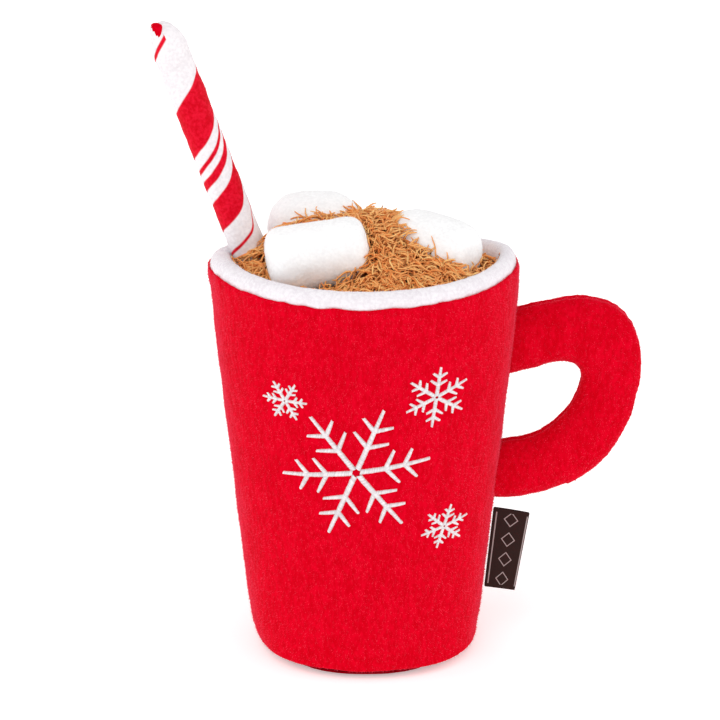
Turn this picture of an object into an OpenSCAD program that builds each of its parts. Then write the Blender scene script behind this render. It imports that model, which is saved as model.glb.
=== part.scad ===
// Stuffed plush toy in the shape of a mug of hot chocolate.
// The mug stands on z = 0 with its axis on Z, its handle along +X and its plain front facing -Y.
// A shaggy domed top, three marshmallow pillows and a leaning stick stand for the drink.

/* [Mug] */
// Radius of the wall, carried down to the floor
base_r = 40.2; // [34:0.1:49]
// Radius of the rounding between the wall and the base
base_round = 11.6; // [6:0.1:14]
// Largest radius, at the swell under the mouth
mouth_r = 53.6; // [50:0.1:65]
// Height of the swell under the mouth
mouth_z = 132.5; // [110:0.5:160]
// Radius of the curve that turns the wall in over the swell
shoulder_r = 27; // [22:0.5:40]
// Height of the seam above the swell
seam_rise = 8.9; // [6:0.1:11]
// How far the mouth sags at the back
back_sag = 7.5; // [0:0.5:10]

/* [Base panel] */
// How far the seam round the base panel lies inside the wall
panel_inset = 4.7; // [3:0.1:6]
// Thickness of the padded base panel
panel_t = 3.5; // [3:0.1:6]

/* [Rim band] */
// Width of the padded bead round the mouth
bead_w = 6.2; // [5:0.1:8]
// Height of the bead above the seam
bead_h = 4.2; // [3:0.1:6]
// Thickness of the band's skirt inside the mug
skirt_t = 1.4; // [1:0.1:2]
// Depth of the pocket for the cocoa, from the seam down
pocket_depth = 13; // [11:0.5:18]

/* [Cocoa] */
// Depth of the cocoa's edge below the seam
edge_drop = 0.4; // [0:0.1:2]
// Height of the dome above its edge
dome_h = 17.5; // [12:0.5:22]
// Share by which the dome leans up to the right and back
dome_lean = 0.4; // [0:0.05:0.5]

/* [Marshmallows] */
// Diameter of each pillow
marsh_d = 25.6; // [21:0.1:31]
// Length of the front pillow
front_l = 36.4; // [31:0.1:37]
// Length of the back pillow
back_l = 35.4; // [31:0.1:37]
// Length of the right pillow
right_l = 34.4; // [29:0.1:35]
// Radius of a pillow's rounded end edges
marsh_round = 8.5; // [5:0.1:10]
// Width of the cocoa between the front and the back pillow
marsh_band = 8.8; // [6:0.1:12]

/* [Stick] */
// Diameter of the stick
stick_d = 12.6; // [9:0.1:15.2]
// Length of the stick from the cocoa to its tip
stick_l = 83; // [50:1:110]
// Depth of the stick's foot below the cocoa
stick_foot = 10; // [6:0.5:10.5]
// Lean of the stick to the left of upright
stick_lean = 20.6; // [10:0.2:24]
// Lean of the stick to the back of upright
stick_back = 3; // [0:0.5:6]

/* [Handle] */
// Height of the upper root's centre on the wall
handle_top_z = 108; // [104:0.5:112]
// Height of the lower root's centre on the wall
handle_low_z = 64.4; // [60:0.2:70]
// How far the loop stands out from the wall
handle_out = 44.1; // [38:0.1:56]
// Height of the loop's farthest point
handle_far_z = 101.5; // [96:0.5:104]
// Width of the loop at its upper root, in its own plane
top_root_w = 22.7; // [18:0.1:24]
// Width of the loop at its lower root, in its own plane
low_root_w = 22; // [18:0.1:24]
// Width of the loop at its farthest point, in its own plane
far_w = 19.8; // [16:0.1:22]
// Thickness of the loop across its plane
handle_t = 19; // [14:0.5:22]

/* [Label] */
// Height of the folded side label
label_h = 28.4; // [20:0.2:32]
// Width of the label at its top
label_top_w = 12.4; // [8:0.1:16]
// Width of the label at its bottom
label_low_w = 10.4; // [8:0.1:16]
// Thickness of the two folded layers
label_t = 1.2; // [1:0.1:2]
// Height of the label's lower inner corner
label_z = 21.4; // [16:0.2:26]
// How far the label's free edge droops
label_droop = 1; // [0:0.1:3]

/* [Hidden] */

// Clearance between two stuffed pieces that are sewn to each other
gap = 0.3;
// Segments round the mug, and round the tools that cut it
ROUND = 48;
CUT_FN = 26;
SMOOTH_FN = 64;

// The wall is the tangent from the floor to the shoulder's curve
shoulder_x = mouth_r - shoulder_r;
taper = atan2(shoulder_x - base_r, mouth_z)
    + asin(shoulder_r / norm([shoulder_x - base_r, mouth_z]));
seam_turn = asin(seam_rise / shoulder_r);
seam_r = shoulder_x + shoulder_r * cos(seam_turn);
seam_z = mouth_z + seam_rise;
round_x = base_r + base_round * tan(taper) - base_round / cos(taper);

// Angles behind the side seams where the sag begins and is full, and its lead on the left
sag_from = -16;
sag_full = 48;
sag_lead = 4;
sag_root_z = mouth_z - 60;
panel_r = base_r - panel_inset;
WALL_STEPS = 4;

// Inside of the mouth
bead_inner_r = seam_r - bead_w;
pocket_r = bead_inner_r + skirt_t;
pocket_z = seam_z - pocket_depth;
cocoa_r = bead_inner_r - gap;
edge_z = seam_z - edge_drop;
crown_z = edge_z + dome_h;

// Rise and fall of the dome's surface, the number of its swells, and their turn from crown to edge
swell = 2.8;
swells = 3;
swell_turn = 200;

// Places of what lies in the cocoa: centre, turn about Z, tilt of the right end, length
band_y = -0.4;
marsh_step = (marsh_d + marsh_band) / 2;
FRONT = [[-16.1, band_y - marsh_step, crown_z + 2.2 - marsh_d / 2], 5, 7, front_l];
BACK = [[-17.4, band_y + marsh_step, crown_z + 1.6 - marsh_d / 2], -5, 1, back_l];
RIGHT = [[22.3, -4.9, crown_z + 0.9 - marsh_d / 2], -35, -9, right_l];
stick_in = 5.8;
stick_at = [stick_in - cocoa_r, 4, seam_z + 2];

// Handle: outer and inner outline as [x, z], each of two cubic curves that meet at the far point
root_in = 6;
top_root_x = wall_r(handle_top_z) - root_in;
low_root_x = wall_r(handle_low_z) - root_in;
handle_reach = wall_r(handle_far_z) + handle_out;
inner_reach = handle_reach - far_w;
outer_far = [handle_reach, handle_far_z + 2.5];
inner_far = [inner_reach, handle_far_z - 2.5];
OUTER_TOP = [
    [top_root_x, handle_top_z + top_root_w / 2],
    outer_far + [-11.2, 35],
    outer_far + [0, 18],
    outer_far,
];
OUTER_LOW = [
    outer_far,
    outer_far + [0, -16.5],
    [handle_reach - 7.1, handle_low_z - low_root_w / 2 - 1.6],
    [low_root_x, handle_low_z - low_root_w / 2],
];
INNER_TOP = [
    [top_root_x, handle_top_z - top_root_w / 2],
    [top_root_x + 4.4, handle_top_z - top_root_w / 2 + 0.4],
    inner_far + [0, 14.6],
    inner_far,
];
INNER_LOW = [
    inner_far,
    inner_far + [0, -8.2],
    [inner_reach - 10.3, handle_low_z + low_root_w / 2 - 4.2],
    [low_root_x, handle_low_z + low_root_w / 2],
];
CURVE_STEPS = 13;
TUBE_SIDES = 20;

function smooth(t) = let (c = max(0, min(1, t))) c * c * (3 - 2 * c);
function wall_r(z) = base_r + z * tan(taper);

// Sag of the mouth at the angle a round the axis, faded out down the wall
function sag(a) =
    back_sag * smooth((asin(sin(a)) - sag_from - sag_lead * cos(a)) / (sag_full - sag_from));
function sag_share(z) = smooth((z - sag_root_z) / (seam_z - sag_root_z));
function sagged(r, a, z) = [r * cos(a), r * sin(a), z - sag(a) * sag_share(z)];

// Outer line of the mug as [radius, height], from one radius on the base's rounding up to the seam
function rounding_turn(r) = acos((r - round_x) / base_round);
function wall_line(grow, from_r) = [
    for (i = [0:5])
        let (t = -rounding_turn(from_r) + i * (rounding_turn(from_r) - taper) / 5)
            [round_x + (base_round + grow) * cos(t), base_round + (base_round + grow) * sin(t)],
    for (i = [1:WALL_STEPS - 1])
        let (z = base_round + i * (mouth_z - base_round) / WALL_STEPS) [wall_r(z) + grow, z],
    for (i = [0:6])
        let (t = -taper + i * (seam_turn + taper) / 6)
            [shoulder_x + (shoulder_r + grow) * cos(t), mouth_z + (shoulder_r + grow) * sin(t)],
];

// Rings of points turned round the axis from a line of [radius, height]
function turned(line) = [
    for (p = line) [for (i = [0:ROUND - 1]) sagged(p[0], i * 360 / ROUND, p[1])],
];
function middle(ring) = [for (k = [0:2]) [for (p = ring) p[k]] * [for (p = ring) 1] / len(ring)];

// Closed skin over rings of points, with a fan over the first and the last ring
module skin(rings) {
    n = len(rings[0]);
    m = len(rings);
    points = [for (ring = rings) each ring, middle(rings[0]), middle(rings[m - 1])];
    faces = [
        for (j = [0:m - 2]) for (i = [0:n - 1])
            let (a = j * n + i, b = j * n + (i + 1) % n)
                each [[a, a + n, b + n], [a, b + n, b]],
        for (i = [0:n - 1]) [m * n, i, (i + 1) % n],
        for (i = [0:n - 1]) [m * n + 1, (m - 1) * n + (i + 1) % n, (m - 1) * n + i],
    ];
    polyhedron(points = points, faces = faces, convexity = 8);
}

// Closed ring whose cross-section is a loop of [radius, height] points
module ring_skin(loop) {
    rings = turned(loop);
    m = len(rings);
    faces = [
        for (j = [0:m - 1]) for (i = [0:ROUND - 1])
            let (a = j * ROUND + i, b = j * ROUND + (i + 1) % ROUND,
                c = ((j + 1) % m) * ROUND + i, d = ((j + 1) % m) * ROUND + (i + 1) % ROUND)
                each [[a, c, d], [a, d, b]],
    ];
    polyhedron(points = [for (ring = rings) each ring], faces = faces, convexity = 8);
}

// The whole mug out to its wall, for trimming what is sewn to it
module mug_envelope(grow) {
    skin(turned(wall_line(grow, round_x)));
}

// A pillow: a cylinder with rounded end edges and slightly domed ends
module pillow(length, grow, fn) {
    r = marsh_d / 2 + grow;
    h = length / 2 + grow;
    e = marsh_round;
    dome = 1.2;
    arc = [for (i = [0:6]) let (t = i * 15) [r - e + e * cos(t), h - dome - e + e * sin(t)]];
    side = concat(arc, [[0, h]]);
    rotate_extrude($fn = fn)
        polygon(concat([for (i = [len(side) - 1:-1:0]) [side[i][0], -side[i][1]]], side));
}

module lying(place) {
    translate(place[0])
        rotate([0, -place[2], place[1]])
            rotate([0, 90, 0])
                children();
}

module at_stick() {
    translate(stick_at)
        rotate([-stick_back, -stick_lean, 0])
            children();
}

// The stick's rod, with a gathered, rounded tip
module rod(grow, fn) {
    r = stick_d / 2 + grow;
    tip = 4.5;
    nub = 1.6;
    rotate_extrude($fn = fn)
        polygon([
            [0, -stick_foot - grow],
            [r, -stick_foot - grow],
            for (i = [0:6])
                let (t = i * 12)
                    [r * cos(t), stick_l - tip - nub + tip * sin(t)],
            [nub, stick_l],
            [0, stick_l],
        ]);
}

module mug_body() {
    outer = wall_line(0, panel_r + gap);
    color("crimson")
        skin(turned(concat(
            [[panel_r + gap, panel_t + gap]],
            outer,
            [[pocket_r + gap, seam_z], [pocket_r + gap, pocket_z]]
        )));
}

module base_panel() {
    turn = rounding_turn(panel_r);
    color("firebrick")
        rotate_extrude($fn = SMOOTH_FN)
            polygon([
                [0, 0],
                [round_x, 0],
                for (i = [1:4])
                    let (t = -90 + i * (90 - turn) / 4)
                        [round_x + base_round * cos(t), base_round + base_round * sin(t)],
                [panel_r, panel_t],
                [0, panel_t],
            ]);
}

module rim_band() {
    mid_r = seam_r - bead_w / 2;
    bead = [
        for (i = [0:8])
            let (t = i * 180 / 8)
                [mid_r + bead_w / 2 * cos(t), seam_z + gap + (bead_h - gap) * sin(t)],
    ];
    color("white")
        difference() {
            ring_skin(concat(
                bead,
                [
                    [bead_inner_r, pocket_z + gap],
                    [pocket_r, pocket_z + gap],
                    [pocket_r, seam_z + gap],
                ]
            ));
            at_stick() rod(gap, CUT_FN);
        }
}

// Height of the shaggy dome, a little uneven like a heap
function cocoa_top(r, a) =
    let (s = r / cocoa_r)
        edge_z - sag(a) * s * s
            + dome_h * pow(max(0, 1 - s * s), 1.2) * (1 + dome_lean * s * cos(a - 45))
            + swell * s * (1 - s) * sin(swells * a + swell_turn * s);

module cocoa() {
    bottom = pocket_z + gap;
    ring_at = function (r, zf) [
        for (i = [0:ROUND - 1]) let (a = i * 360 / ROUND) [r * cos(a), r * sin(a), zf(r, a)],
    ];
    color("peru")
        difference() {
            skin(concat(
                [ring_at(cocoa_r, function (r, a) bottom)],
                [for (j = [7:-1:1]) ring_at(cocoa_r * j / 7, function (r, a) cocoa_top(r, a))]
            ));
            for (place = [FRONT, BACK, RIGHT]) lying(place) pillow(place[3], gap, CUT_FN);
            at_stick() rod(gap, CUT_FN);
        }
}

module marshmallow_front() {
    color("whitesmoke") lying(FRONT) pillow(FRONT[3], 0, SMOOTH_FN);
}

module marshmallow_back() {
    color("whitesmoke") lying(BACK) pillow(BACK[3], 0, SMOOTH_FN);
}

module marshmallow_right() {
    color("whitesmoke") lying(RIGHT) pillow(RIGHT[3], 0, SMOOTH_FN);
}

module peppermint_stick() {
    color("mistyrose") at_stick() rod(0, SMOOTH_FN);
}

// Point on a cubic curve with four control points
function cubic(c, t) =
    let (u = 1 - t)
        u * u * u * c[0] + 3 * u * u * t * c[1] + 3 * u * t * t * c[2] + t * t * t * c[3];

// Elliptical ring of the handle between a point of its outer and of its inner outline
function handle_ring(outer, inner) =
    let (mid = (outer + inner) / 2, half = (outer - inner) / 2)
        [
            for (i = [0:TUBE_SIDES - 1])
                let (a = -i * 360 / TUBE_SIDES, p = mid + half * cos(a))
                    [p[0], handle_t / 2 * sin(a), p[1]],
        ];

module handle() {
    rings = [
        for (i = [0:CURVE_STEPS])
            let (t = i / CURVE_STEPS)
                handle_ring(cubic(OUTER_TOP, t), cubic(INNER_TOP, t)),
        for (i = [1:CURVE_STEPS])
            let (t = i / CURVE_STEPS)
                handle_ring(cubic(OUTER_LOW, t), cubic(INNER_LOW, t)),
    ];
    color("crimson")
        difference() {
            skin(rings);
            mug_envelope(gap);
        }
}

module side_label() {
    color("saddlebrown")
        translate([wall_r(label_z) + gap, label_t / 2, label_z])
            rotate([90, taper, 0])
                linear_extrude(label_t)
                    polygon([
                        [0, 0],
                        [label_low_w, -label_droop],
                        [label_top_w, label_h - label_droop],
                        [0, label_h],
                    ]);
}

mug_body();
base_panel();
rim_band();
cocoa();
marshmallow_front();
marshmallow_back();
marshmallow_right();
peppermint_stick();
handle();
side_label();
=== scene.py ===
"""Stuffed toy mug of hot chocolate: its plush, yarn, stitching and label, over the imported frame."""

import logging
import math
from dataclasses import dataclass, field
from enum import Enum
from typing import Callable, Iterable, Sequence

import bpy
import numpy as np
from mathutils import Matrix, Vector
from mathutils.bvhtree import BVHTree


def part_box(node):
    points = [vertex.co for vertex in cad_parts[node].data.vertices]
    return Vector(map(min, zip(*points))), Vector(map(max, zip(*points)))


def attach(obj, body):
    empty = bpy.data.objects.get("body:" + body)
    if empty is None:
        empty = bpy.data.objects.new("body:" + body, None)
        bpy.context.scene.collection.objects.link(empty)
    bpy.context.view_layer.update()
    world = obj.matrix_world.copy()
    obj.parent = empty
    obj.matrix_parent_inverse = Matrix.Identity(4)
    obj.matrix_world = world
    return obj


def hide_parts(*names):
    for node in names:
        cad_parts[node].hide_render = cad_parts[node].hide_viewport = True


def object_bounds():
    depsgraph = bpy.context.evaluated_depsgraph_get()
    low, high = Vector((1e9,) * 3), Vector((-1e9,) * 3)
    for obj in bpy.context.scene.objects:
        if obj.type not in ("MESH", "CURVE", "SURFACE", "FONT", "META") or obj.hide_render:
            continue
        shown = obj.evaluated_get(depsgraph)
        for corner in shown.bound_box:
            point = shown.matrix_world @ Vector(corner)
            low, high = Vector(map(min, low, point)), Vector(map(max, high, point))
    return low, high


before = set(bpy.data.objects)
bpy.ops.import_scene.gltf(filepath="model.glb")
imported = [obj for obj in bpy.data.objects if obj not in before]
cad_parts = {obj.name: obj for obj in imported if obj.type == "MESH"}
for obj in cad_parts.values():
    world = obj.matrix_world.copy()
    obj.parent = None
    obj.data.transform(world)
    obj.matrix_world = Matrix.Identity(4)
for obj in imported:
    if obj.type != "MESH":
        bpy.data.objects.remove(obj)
CAD_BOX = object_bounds()

Object = bpy.types.Object
Material = bpy.types.Material
Array = np.ndarray

MM = 0.001
HIGH_ABOVE = 120 * MM
DOWN = Vector((0, 0, -1))
BODY = "root"
log = logging.getLogger("plush_mug")


class Slot(Enum):
    """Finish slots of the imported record."""

    RED = "red_plush"
    WHITE = "white_plush"
    SHAG = "brown_shag"
    STRIPED = "striped_plush"
    LABEL = "woven_label"


# ---------------------------------------------------------------- modelling by operator


def deselect() -> None:
    """Leave edit mode and select nothing."""
    if bpy.context.object is not None and bpy.context.object.mode != "OBJECT":
        bpy.ops.object.mode_set(mode="OBJECT")
    bpy.ops.object.select_all(action="DESELECT")


def activate(piece: Object) -> None:
    """Make a piece the only selected object and the active one.

    Args:
        piece: the object.
    """
    deselect()
    piece.select_set(True)
    bpy.context.view_layer.objects.active = piece


def worked(piece: Object, kind: str, **settings: object) -> None:
    """Add a modifier to a piece and apply it.

    Args:
        piece: the mesh object to work on.
        kind: Blender's name of the modifier.
        settings: the modifier's settings by name.
    """
    activate(piece)
    modifier = piece.modifiers.new(kind.lower(), kind)
    for key, value in settings.items():
        setattr(modifier, key, value)
    bpy.ops.object.modifier_apply(modifier=modifier.name)


def copied_node(node: str, name: str) -> Object:
    """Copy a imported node's mesh into a new object with its doubles merged.

    Args:
        node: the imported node's name.
        name: the new object's name.

    Returns:
        The new object, at the origin, with closed faces that point outwards.
    """
    piece = bpy.data.objects.new(name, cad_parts[node].data.copy())
    piece.data.name = name
    bpy.context.scene.collection.objects.link(piece)
    piece.data.materials.clear()
    activate(piece)
    bpy.ops.object.mode_set(mode="EDIT")
    bpy.ops.mesh.select_all(action="SELECT")
    bpy.ops.mesh.remove_doubles(threshold=0.01 * MM)
    bpy.ops.mesh.normals_make_consistent(inside=False)
    bpy.ops.object.mode_set(mode="OBJECT")
    return piece


def points_of(piece: Object) -> Array:
    """Read the places of a mesh's vertices.

    Args:
        piece: the mesh object.

    Returns:
        One row of x, y and z for each vertex.
    """
    flat = np.empty(len(piece.data.vertices) * 3)
    piece.data.vertices.foreach_get("co", flat)
    return flat.reshape(-1, 3)


def normals_of(piece: Object) -> Array:
    """Read the normals of a mesh's vertices.

    Args:
        piece: the mesh object.

    Returns:
        One row of x, y and z for each vertex.
    """
    flat = np.empty(len(piece.data.vertices) * 3, np.float32)
    piece.data.vertex_normals.foreach_get("vector", flat)
    return flat.reshape(-1, 3).astype(float)


def move_points(piece: Object, points: Array) -> None:
    """Set the places of a mesh's vertices."""
    piece.data.vertices.foreach_set("co", points.astype(np.float32).ravel())
    piece.data.update()


def joined_mesh(name: str, points: Array, faces: Array) -> Object:
    """Make one object from arrays of points and faces.

    Args:
        name: the object's name.
        points: one row for each point.
        faces: one row of point numbers for each face.

    Returns:
        The new object, linked to the scene.
    """
    mesh = bpy.data.meshes.new(name)
    mesh.from_pydata(points.reshape(-1, 3).tolist(), [], faces.reshape(-1, faces.shape[-1]).tolist())
    mesh.update()
    piece = bpy.data.objects.new(name, mesh)
    bpy.context.scene.collection.objects.link(piece)
    return piece


def mark_points(piece: Object, name: str, values: Array) -> None:
    """Store one number for each vertex in a named attribute."""
    attribute = piece.data.attributes.new(name, "FLOAT", "POINT")
    attribute.data.foreach_set("value", values.astype(np.float32).ravel())


def smooth_shaded(piece: Object) -> None:
    """Shade every face of a piece smooth."""
    piece.data.polygons.foreach_set("use_smooth", np.ones(len(piece.data.polygons), bool))
    piece.data.update()


def surface_of(pieces: Iterable[Object]) -> BVHTree:
    """Build a search tree over the faces of one or more pieces.

    Args:
        pieces: the mesh objects.

    Returns:
        The search tree.
    """
    points: list[Vector] = []
    faces: list[list[int]] = []
    for piece in pieces:
        first = len(points)
        points += [v.co.copy() for v in piece.data.vertices]
        faces += [[first + i for i in p.vertices] for p in piece.data.polygons]
    return BVHTree.FromPolygons(points, faces)


def eased(value: Array) -> Array:
    """Return a smooth step from 0 to 1 of values clipped to that range."""
    share = np.clip(value, 0, 1)
    return share * share * (3 - 2 * share)


def ramp(value: Array, start: float, width: float) -> Array:
    """Return a smooth step that begins at a start and takes a width."""
    return eased((value - start) / width)


def hump(value: Array, reach: float) -> Array:
    """Return a smooth hump that is 1 at 0 and fades at a reach to both sides."""
    return np.exp(-((value / reach) ** 2))


def unit(rows: Array) -> Array:
    """Return each row scaled to length 1."""
    return rows / np.maximum(np.linalg.norm(rows, axis=-1, keepdims=True), 1e-12)


def ring_round(first: Array, second: Array, sides: int) -> Array:
    """Return the directions to the corners of a ring round each point.

    Args:
        first: one direction across each point's line.
        second: another, square to it.
        sides: corners of the ring.

    Returns:
        As many directions as corners for each point.
    """
    turn = np.arange(sides)[:, None] * 2 * math.pi / sides
    return first[..., None, :] * np.cos(turn) + second[..., None, :] * np.sin(turn)


def tube_faces(count: int, rings: int, sides: int) -> Array:
    """Return the triangles of closed tubes, each with a fan at both ends.

    Args:
        count: tubes, whose points follow one another.
        rings: rings of each tube. Its first and last middle points come after them.
        sides: corners of each ring.

    Returns:
        One block of triangles for each tube.
    """
    faces = []
    for j in range(rings - 1):
        for i in range(sides):
            a, b = j * sides + i, j * sides + (i + 1) % sides
            faces += [[a, b, b + sides], [a, b + sides, a + sides]]
    root, tip = rings * sides, rings * sides + 1
    last = (rings - 1) * sides
    for i in range(sides):
        faces.append([root, (i + 1) % sides, i])
        faces.append([tip, last + i, last + (i + 1) % sides])
    return np.array(faces)[None] + (np.arange(count) * (tip + 1))[:, None, None]


def dressed(piece: Object, material: Material, slot: Slot, *nodes: str) -> Object:
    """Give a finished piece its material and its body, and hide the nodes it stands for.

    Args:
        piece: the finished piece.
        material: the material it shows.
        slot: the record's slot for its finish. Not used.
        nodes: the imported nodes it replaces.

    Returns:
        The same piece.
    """
    piece.data.materials.clear()
    piece.data.materials.append(material)
    smooth_shaded(piece)
    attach(piece, BODY)
    if nodes:
        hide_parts(*nodes)
    return piece


# ---------------------------------------------------------------- places read from the frame


@dataclass(frozen=True)
class Mouth:
    """The sewn mouth of the mug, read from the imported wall, rim and cocoa."""

    angles: Array
    seam_heights: Array
    seam_r: float
    bead_w: float
    bead_h: float
    top: float

    @classmethod
    def from_frame(cls, level: float = 0.05 * MM, slope: float = 12.0 * MM) -> "Mouth":
        """Read the seam's radius and its height round the axis.

        Args:
            level: how near two places have to be to count as level.
            slope: more than the mouth's edge falls from its highest place.

        Returns:
            The mouth.
        """
        wall = points_of(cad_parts["mug_body"])
        radius = np.hypot(wall[:, 0], wall[:, 1])
        top = wall[:, 2].max()
        seam_r = radius[wall[:, 2] > top - level].max()
        ring = wall[(np.abs(radius - seam_r) < level) & (wall[:, 2] > top - slope)]
        turn = np.round(np.degrees(np.arctan2(ring[:, 1], ring[:, 0])), 1)
        angles = np.unique(turn)
        heights = np.array([ring[turn == a, 2].max() for a in angles])
        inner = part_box("cocoa")[1].x
        bead_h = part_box("rim_band")[1].z - top
        return cls(np.radians(angles), heights, seam_r, seam_r - inner, bead_h, top)

    def seam_z(self, angle: Array) -> Array:
        """Return the seam's height at angles round the axis."""
        return np.interp(angle, self.angles, self.seam_heights, period=2 * math.pi)


@dataclass(frozen=True)
class Axle:
    """Straight line through a long node, with a frame of its own."""

    foot: Vector
    tip: Vector
    turn: Matrix

    @classmethod
    def through(cls, node: str, end: float = 0.1 * MM) -> "Axle":
        """Find the middle line of a long round node.

        Args:
            node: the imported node's name.
            end: how near the foot a point has to be to count as the end's own.

        Returns:
            The line from the lower end to the upper end, with its X axis to the right.
        """
        points = points_of(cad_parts[node])
        middle = (points.min(0) + points.max(0)) / 2
        for _ in range(3):
            along = unit(np.linalg.svd(points - middle, full_matrices=False)[2][0])
            along = along if along[2] > 0 else -along
            reach = (points - middle) @ along
            low = points[reach < reach.min() + end].mean(0)
            middle = low + along * np.ptp(reach) / 2
        reach = (points - middle) @ along
        foot, tip = middle + along * reach.min(), middle + along * reach.max()
        z_axis = Vector(along)
        x_axis = (Vector((1, 0, 0)) - z_axis * z_axis.x).normalized()
        y_axis = z_axis.cross(x_axis)
        turn = Matrix((x_axis, y_axis, z_axis)).transposed()
        return cls(Vector(foot), Vector(tip), turn)

    @property
    def length(self) -> float:
        """Length from end to end."""
        return (self.tip - self.foot).length

    def local(self, points: Array) -> Array:
        """Return points in the line's own frame, with z from the foot."""
        return (points - np.array(self.foot)) @ np.array(self.turn)

    def world(self, points: Array) -> Array:
        """Return points of the line's own frame in the shared frame."""
        return points @ np.array(self.turn).T + np.array(self.foot)


# ---------------------------------------------------------------- shader building


class Nodes:
    """Short hand for adding and joining shader nodes in one tree."""

    def __init__(self, tree: bpy.types.NodeTree) -> None:
        """Keep the tree that nodes are added to."""
        self.tree = tree

    def add(self, kind: str, inputs: dict | None = None, **settings: object) -> bpy.types.Node:
        """Add a node.

        Args:
            kind: the node's type name without its ShaderNode start.
            inputs: sockets by name or number, each with a value or an output to join.
            settings: the node's own settings by name.

        Returns:
            The new node.
        """
        node = self.tree.nodes.new("ShaderNode" + kind)
        for key, value in settings.items():
            setattr(node, key, value)
        for key, value in (inputs or {}).items():
            if isinstance(value, bpy.types.NodeSocket):
                self.tree.links.new(value, node.inputs[key])
            else:
                node.inputs[key].default_value = value
        return node

    def math(self, operation: str, *values: object) -> bpy.types.NodeSocket:
        """Add a Math node and return its output."""
        return self.add("Math", dict(enumerate(values)), operation=operation).outputs[0]

    def mixed(self, share: object, first: object, second: object) -> bpy.types.NodeSocket:
        """Mix two colours by a share and return the colour."""
        node = self.add("Mix", {0: share, 6: first, 7: second}, data_type="RGBA")
        return node.outputs[2]

    def stepped(self, value: object, low: float, high: float) -> bpy.types.NodeSocket:
        """Return a smooth step of a value between two limits."""
        inputs = {"Value": value, "From Min": low, "From Max": high}
        return self.add("MapRange", inputs, interpolation_type="SMOOTHSTEP").outputs[0]

    def place(self, **settings: object) -> bpy.types.NodeSocket:
        """Add Object coordinates, through a Mapping node where settings are given.

        Args:
            settings: the Mapping node's sockets by name, and its vector_type.

        Returns:
            The vector output.
        """
        coordinates = self.add("TexCoord").outputs["Object"]
        if not settings:
            return coordinates
        kind = settings.pop("vector_type", "POINT")
        inputs = {"Vector": coordinates, **settings}
        return self.add("Mapping", inputs, vector_type=kind).outputs[0]


def new_material(name: str) -> tuple[Material, Nodes, bpy.types.Node]:
    """Make a material with one Principled shader.

    Args:
        name: the material's name.

    Returns:
        The material, a helper on its tree and the Principled node.
    """
    material = bpy.data.materials.new(name)
    material.use_nodes = True
    nodes = Nodes(material.node_tree)
    return material, nodes, material.node_tree.nodes["Principled BSDF"]


def set_inputs(node: bpy.types.Node, values: dict[str, object]) -> None:
    """Set a node's sockets to constant values by name."""
    for key, value in values.items():
        node.inputs[key].default_value = value


def rgba(colour: Sequence[float]) -> tuple[float, float, float, float]:
    """Return a colour with full alpha."""
    return (colour[0], colour[1], colour[2], 1.0)


def pile_group() -> bpy.types.NodeTree:
    """Build the node group for short brushed pile.

    Returns:
        A group with the inputs Vector, Fine and Broad, which are sizes of the grain, and the
        outputs Tone from 0 to 1 and Height.
    """
    group = bpy.data.node_groups.new("brushed_pile", "ShaderNodeTree")
    sockets = group.interface
    sockets.new_socket("Vector", in_out="INPUT", socket_type="NodeSocketVector")
    sockets.new_socket("Fine", in_out="INPUT", socket_type="NodeSocketFloat")
    sockets.new_socket("Broad", in_out="INPUT", socket_type="NodeSocketFloat")
    sockets.new_socket("Tone", in_out="OUTPUT", socket_type="NodeSocketFloat")
    sockets.new_socket("Height", in_out="OUTPUT", socket_type="NodeSocketFloat")
    nodes = Nodes(group)
    entry = group.nodes.new("NodeGroupInput")
    leave = group.nodes.new("NodeGroupOutput")
    vector = entry.outputs["Vector"]
    fine = nodes.add("TexNoise", {"Vector": vector, "Scale": entry.outputs["Fine"], "Detail": 3.0})
    broad = nodes.add("TexNoise", {"Vector": vector, "Scale": entry.outputs["Broad"], "Detail": 2.0})
    tufts = nodes.add(
        "TexVoronoi", {"Vector": vector, "Scale": entry.outputs["Fine"], "Randomness": 1.0}
    )
    wide = nodes.math("MULTIPLY", broad.outputs[0], 0.3)
    grain = nodes.math("MULTIPLY_ADD", fine.outputs[0], 0.7, wide)
    tone = nodes.stepped(grain, 0.36, 0.64)
    crown = nodes.math("SUBTRACT", 1.0, tufts.outputs["Distance"])
    height = nodes.math("MULTIPLY_ADD", crown, 0.5, fine.outputs[0])
    group.links.new(tone, leave.inputs["Tone"])
    group.links.new(height, leave.inputs["Height"])
    return group


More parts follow.
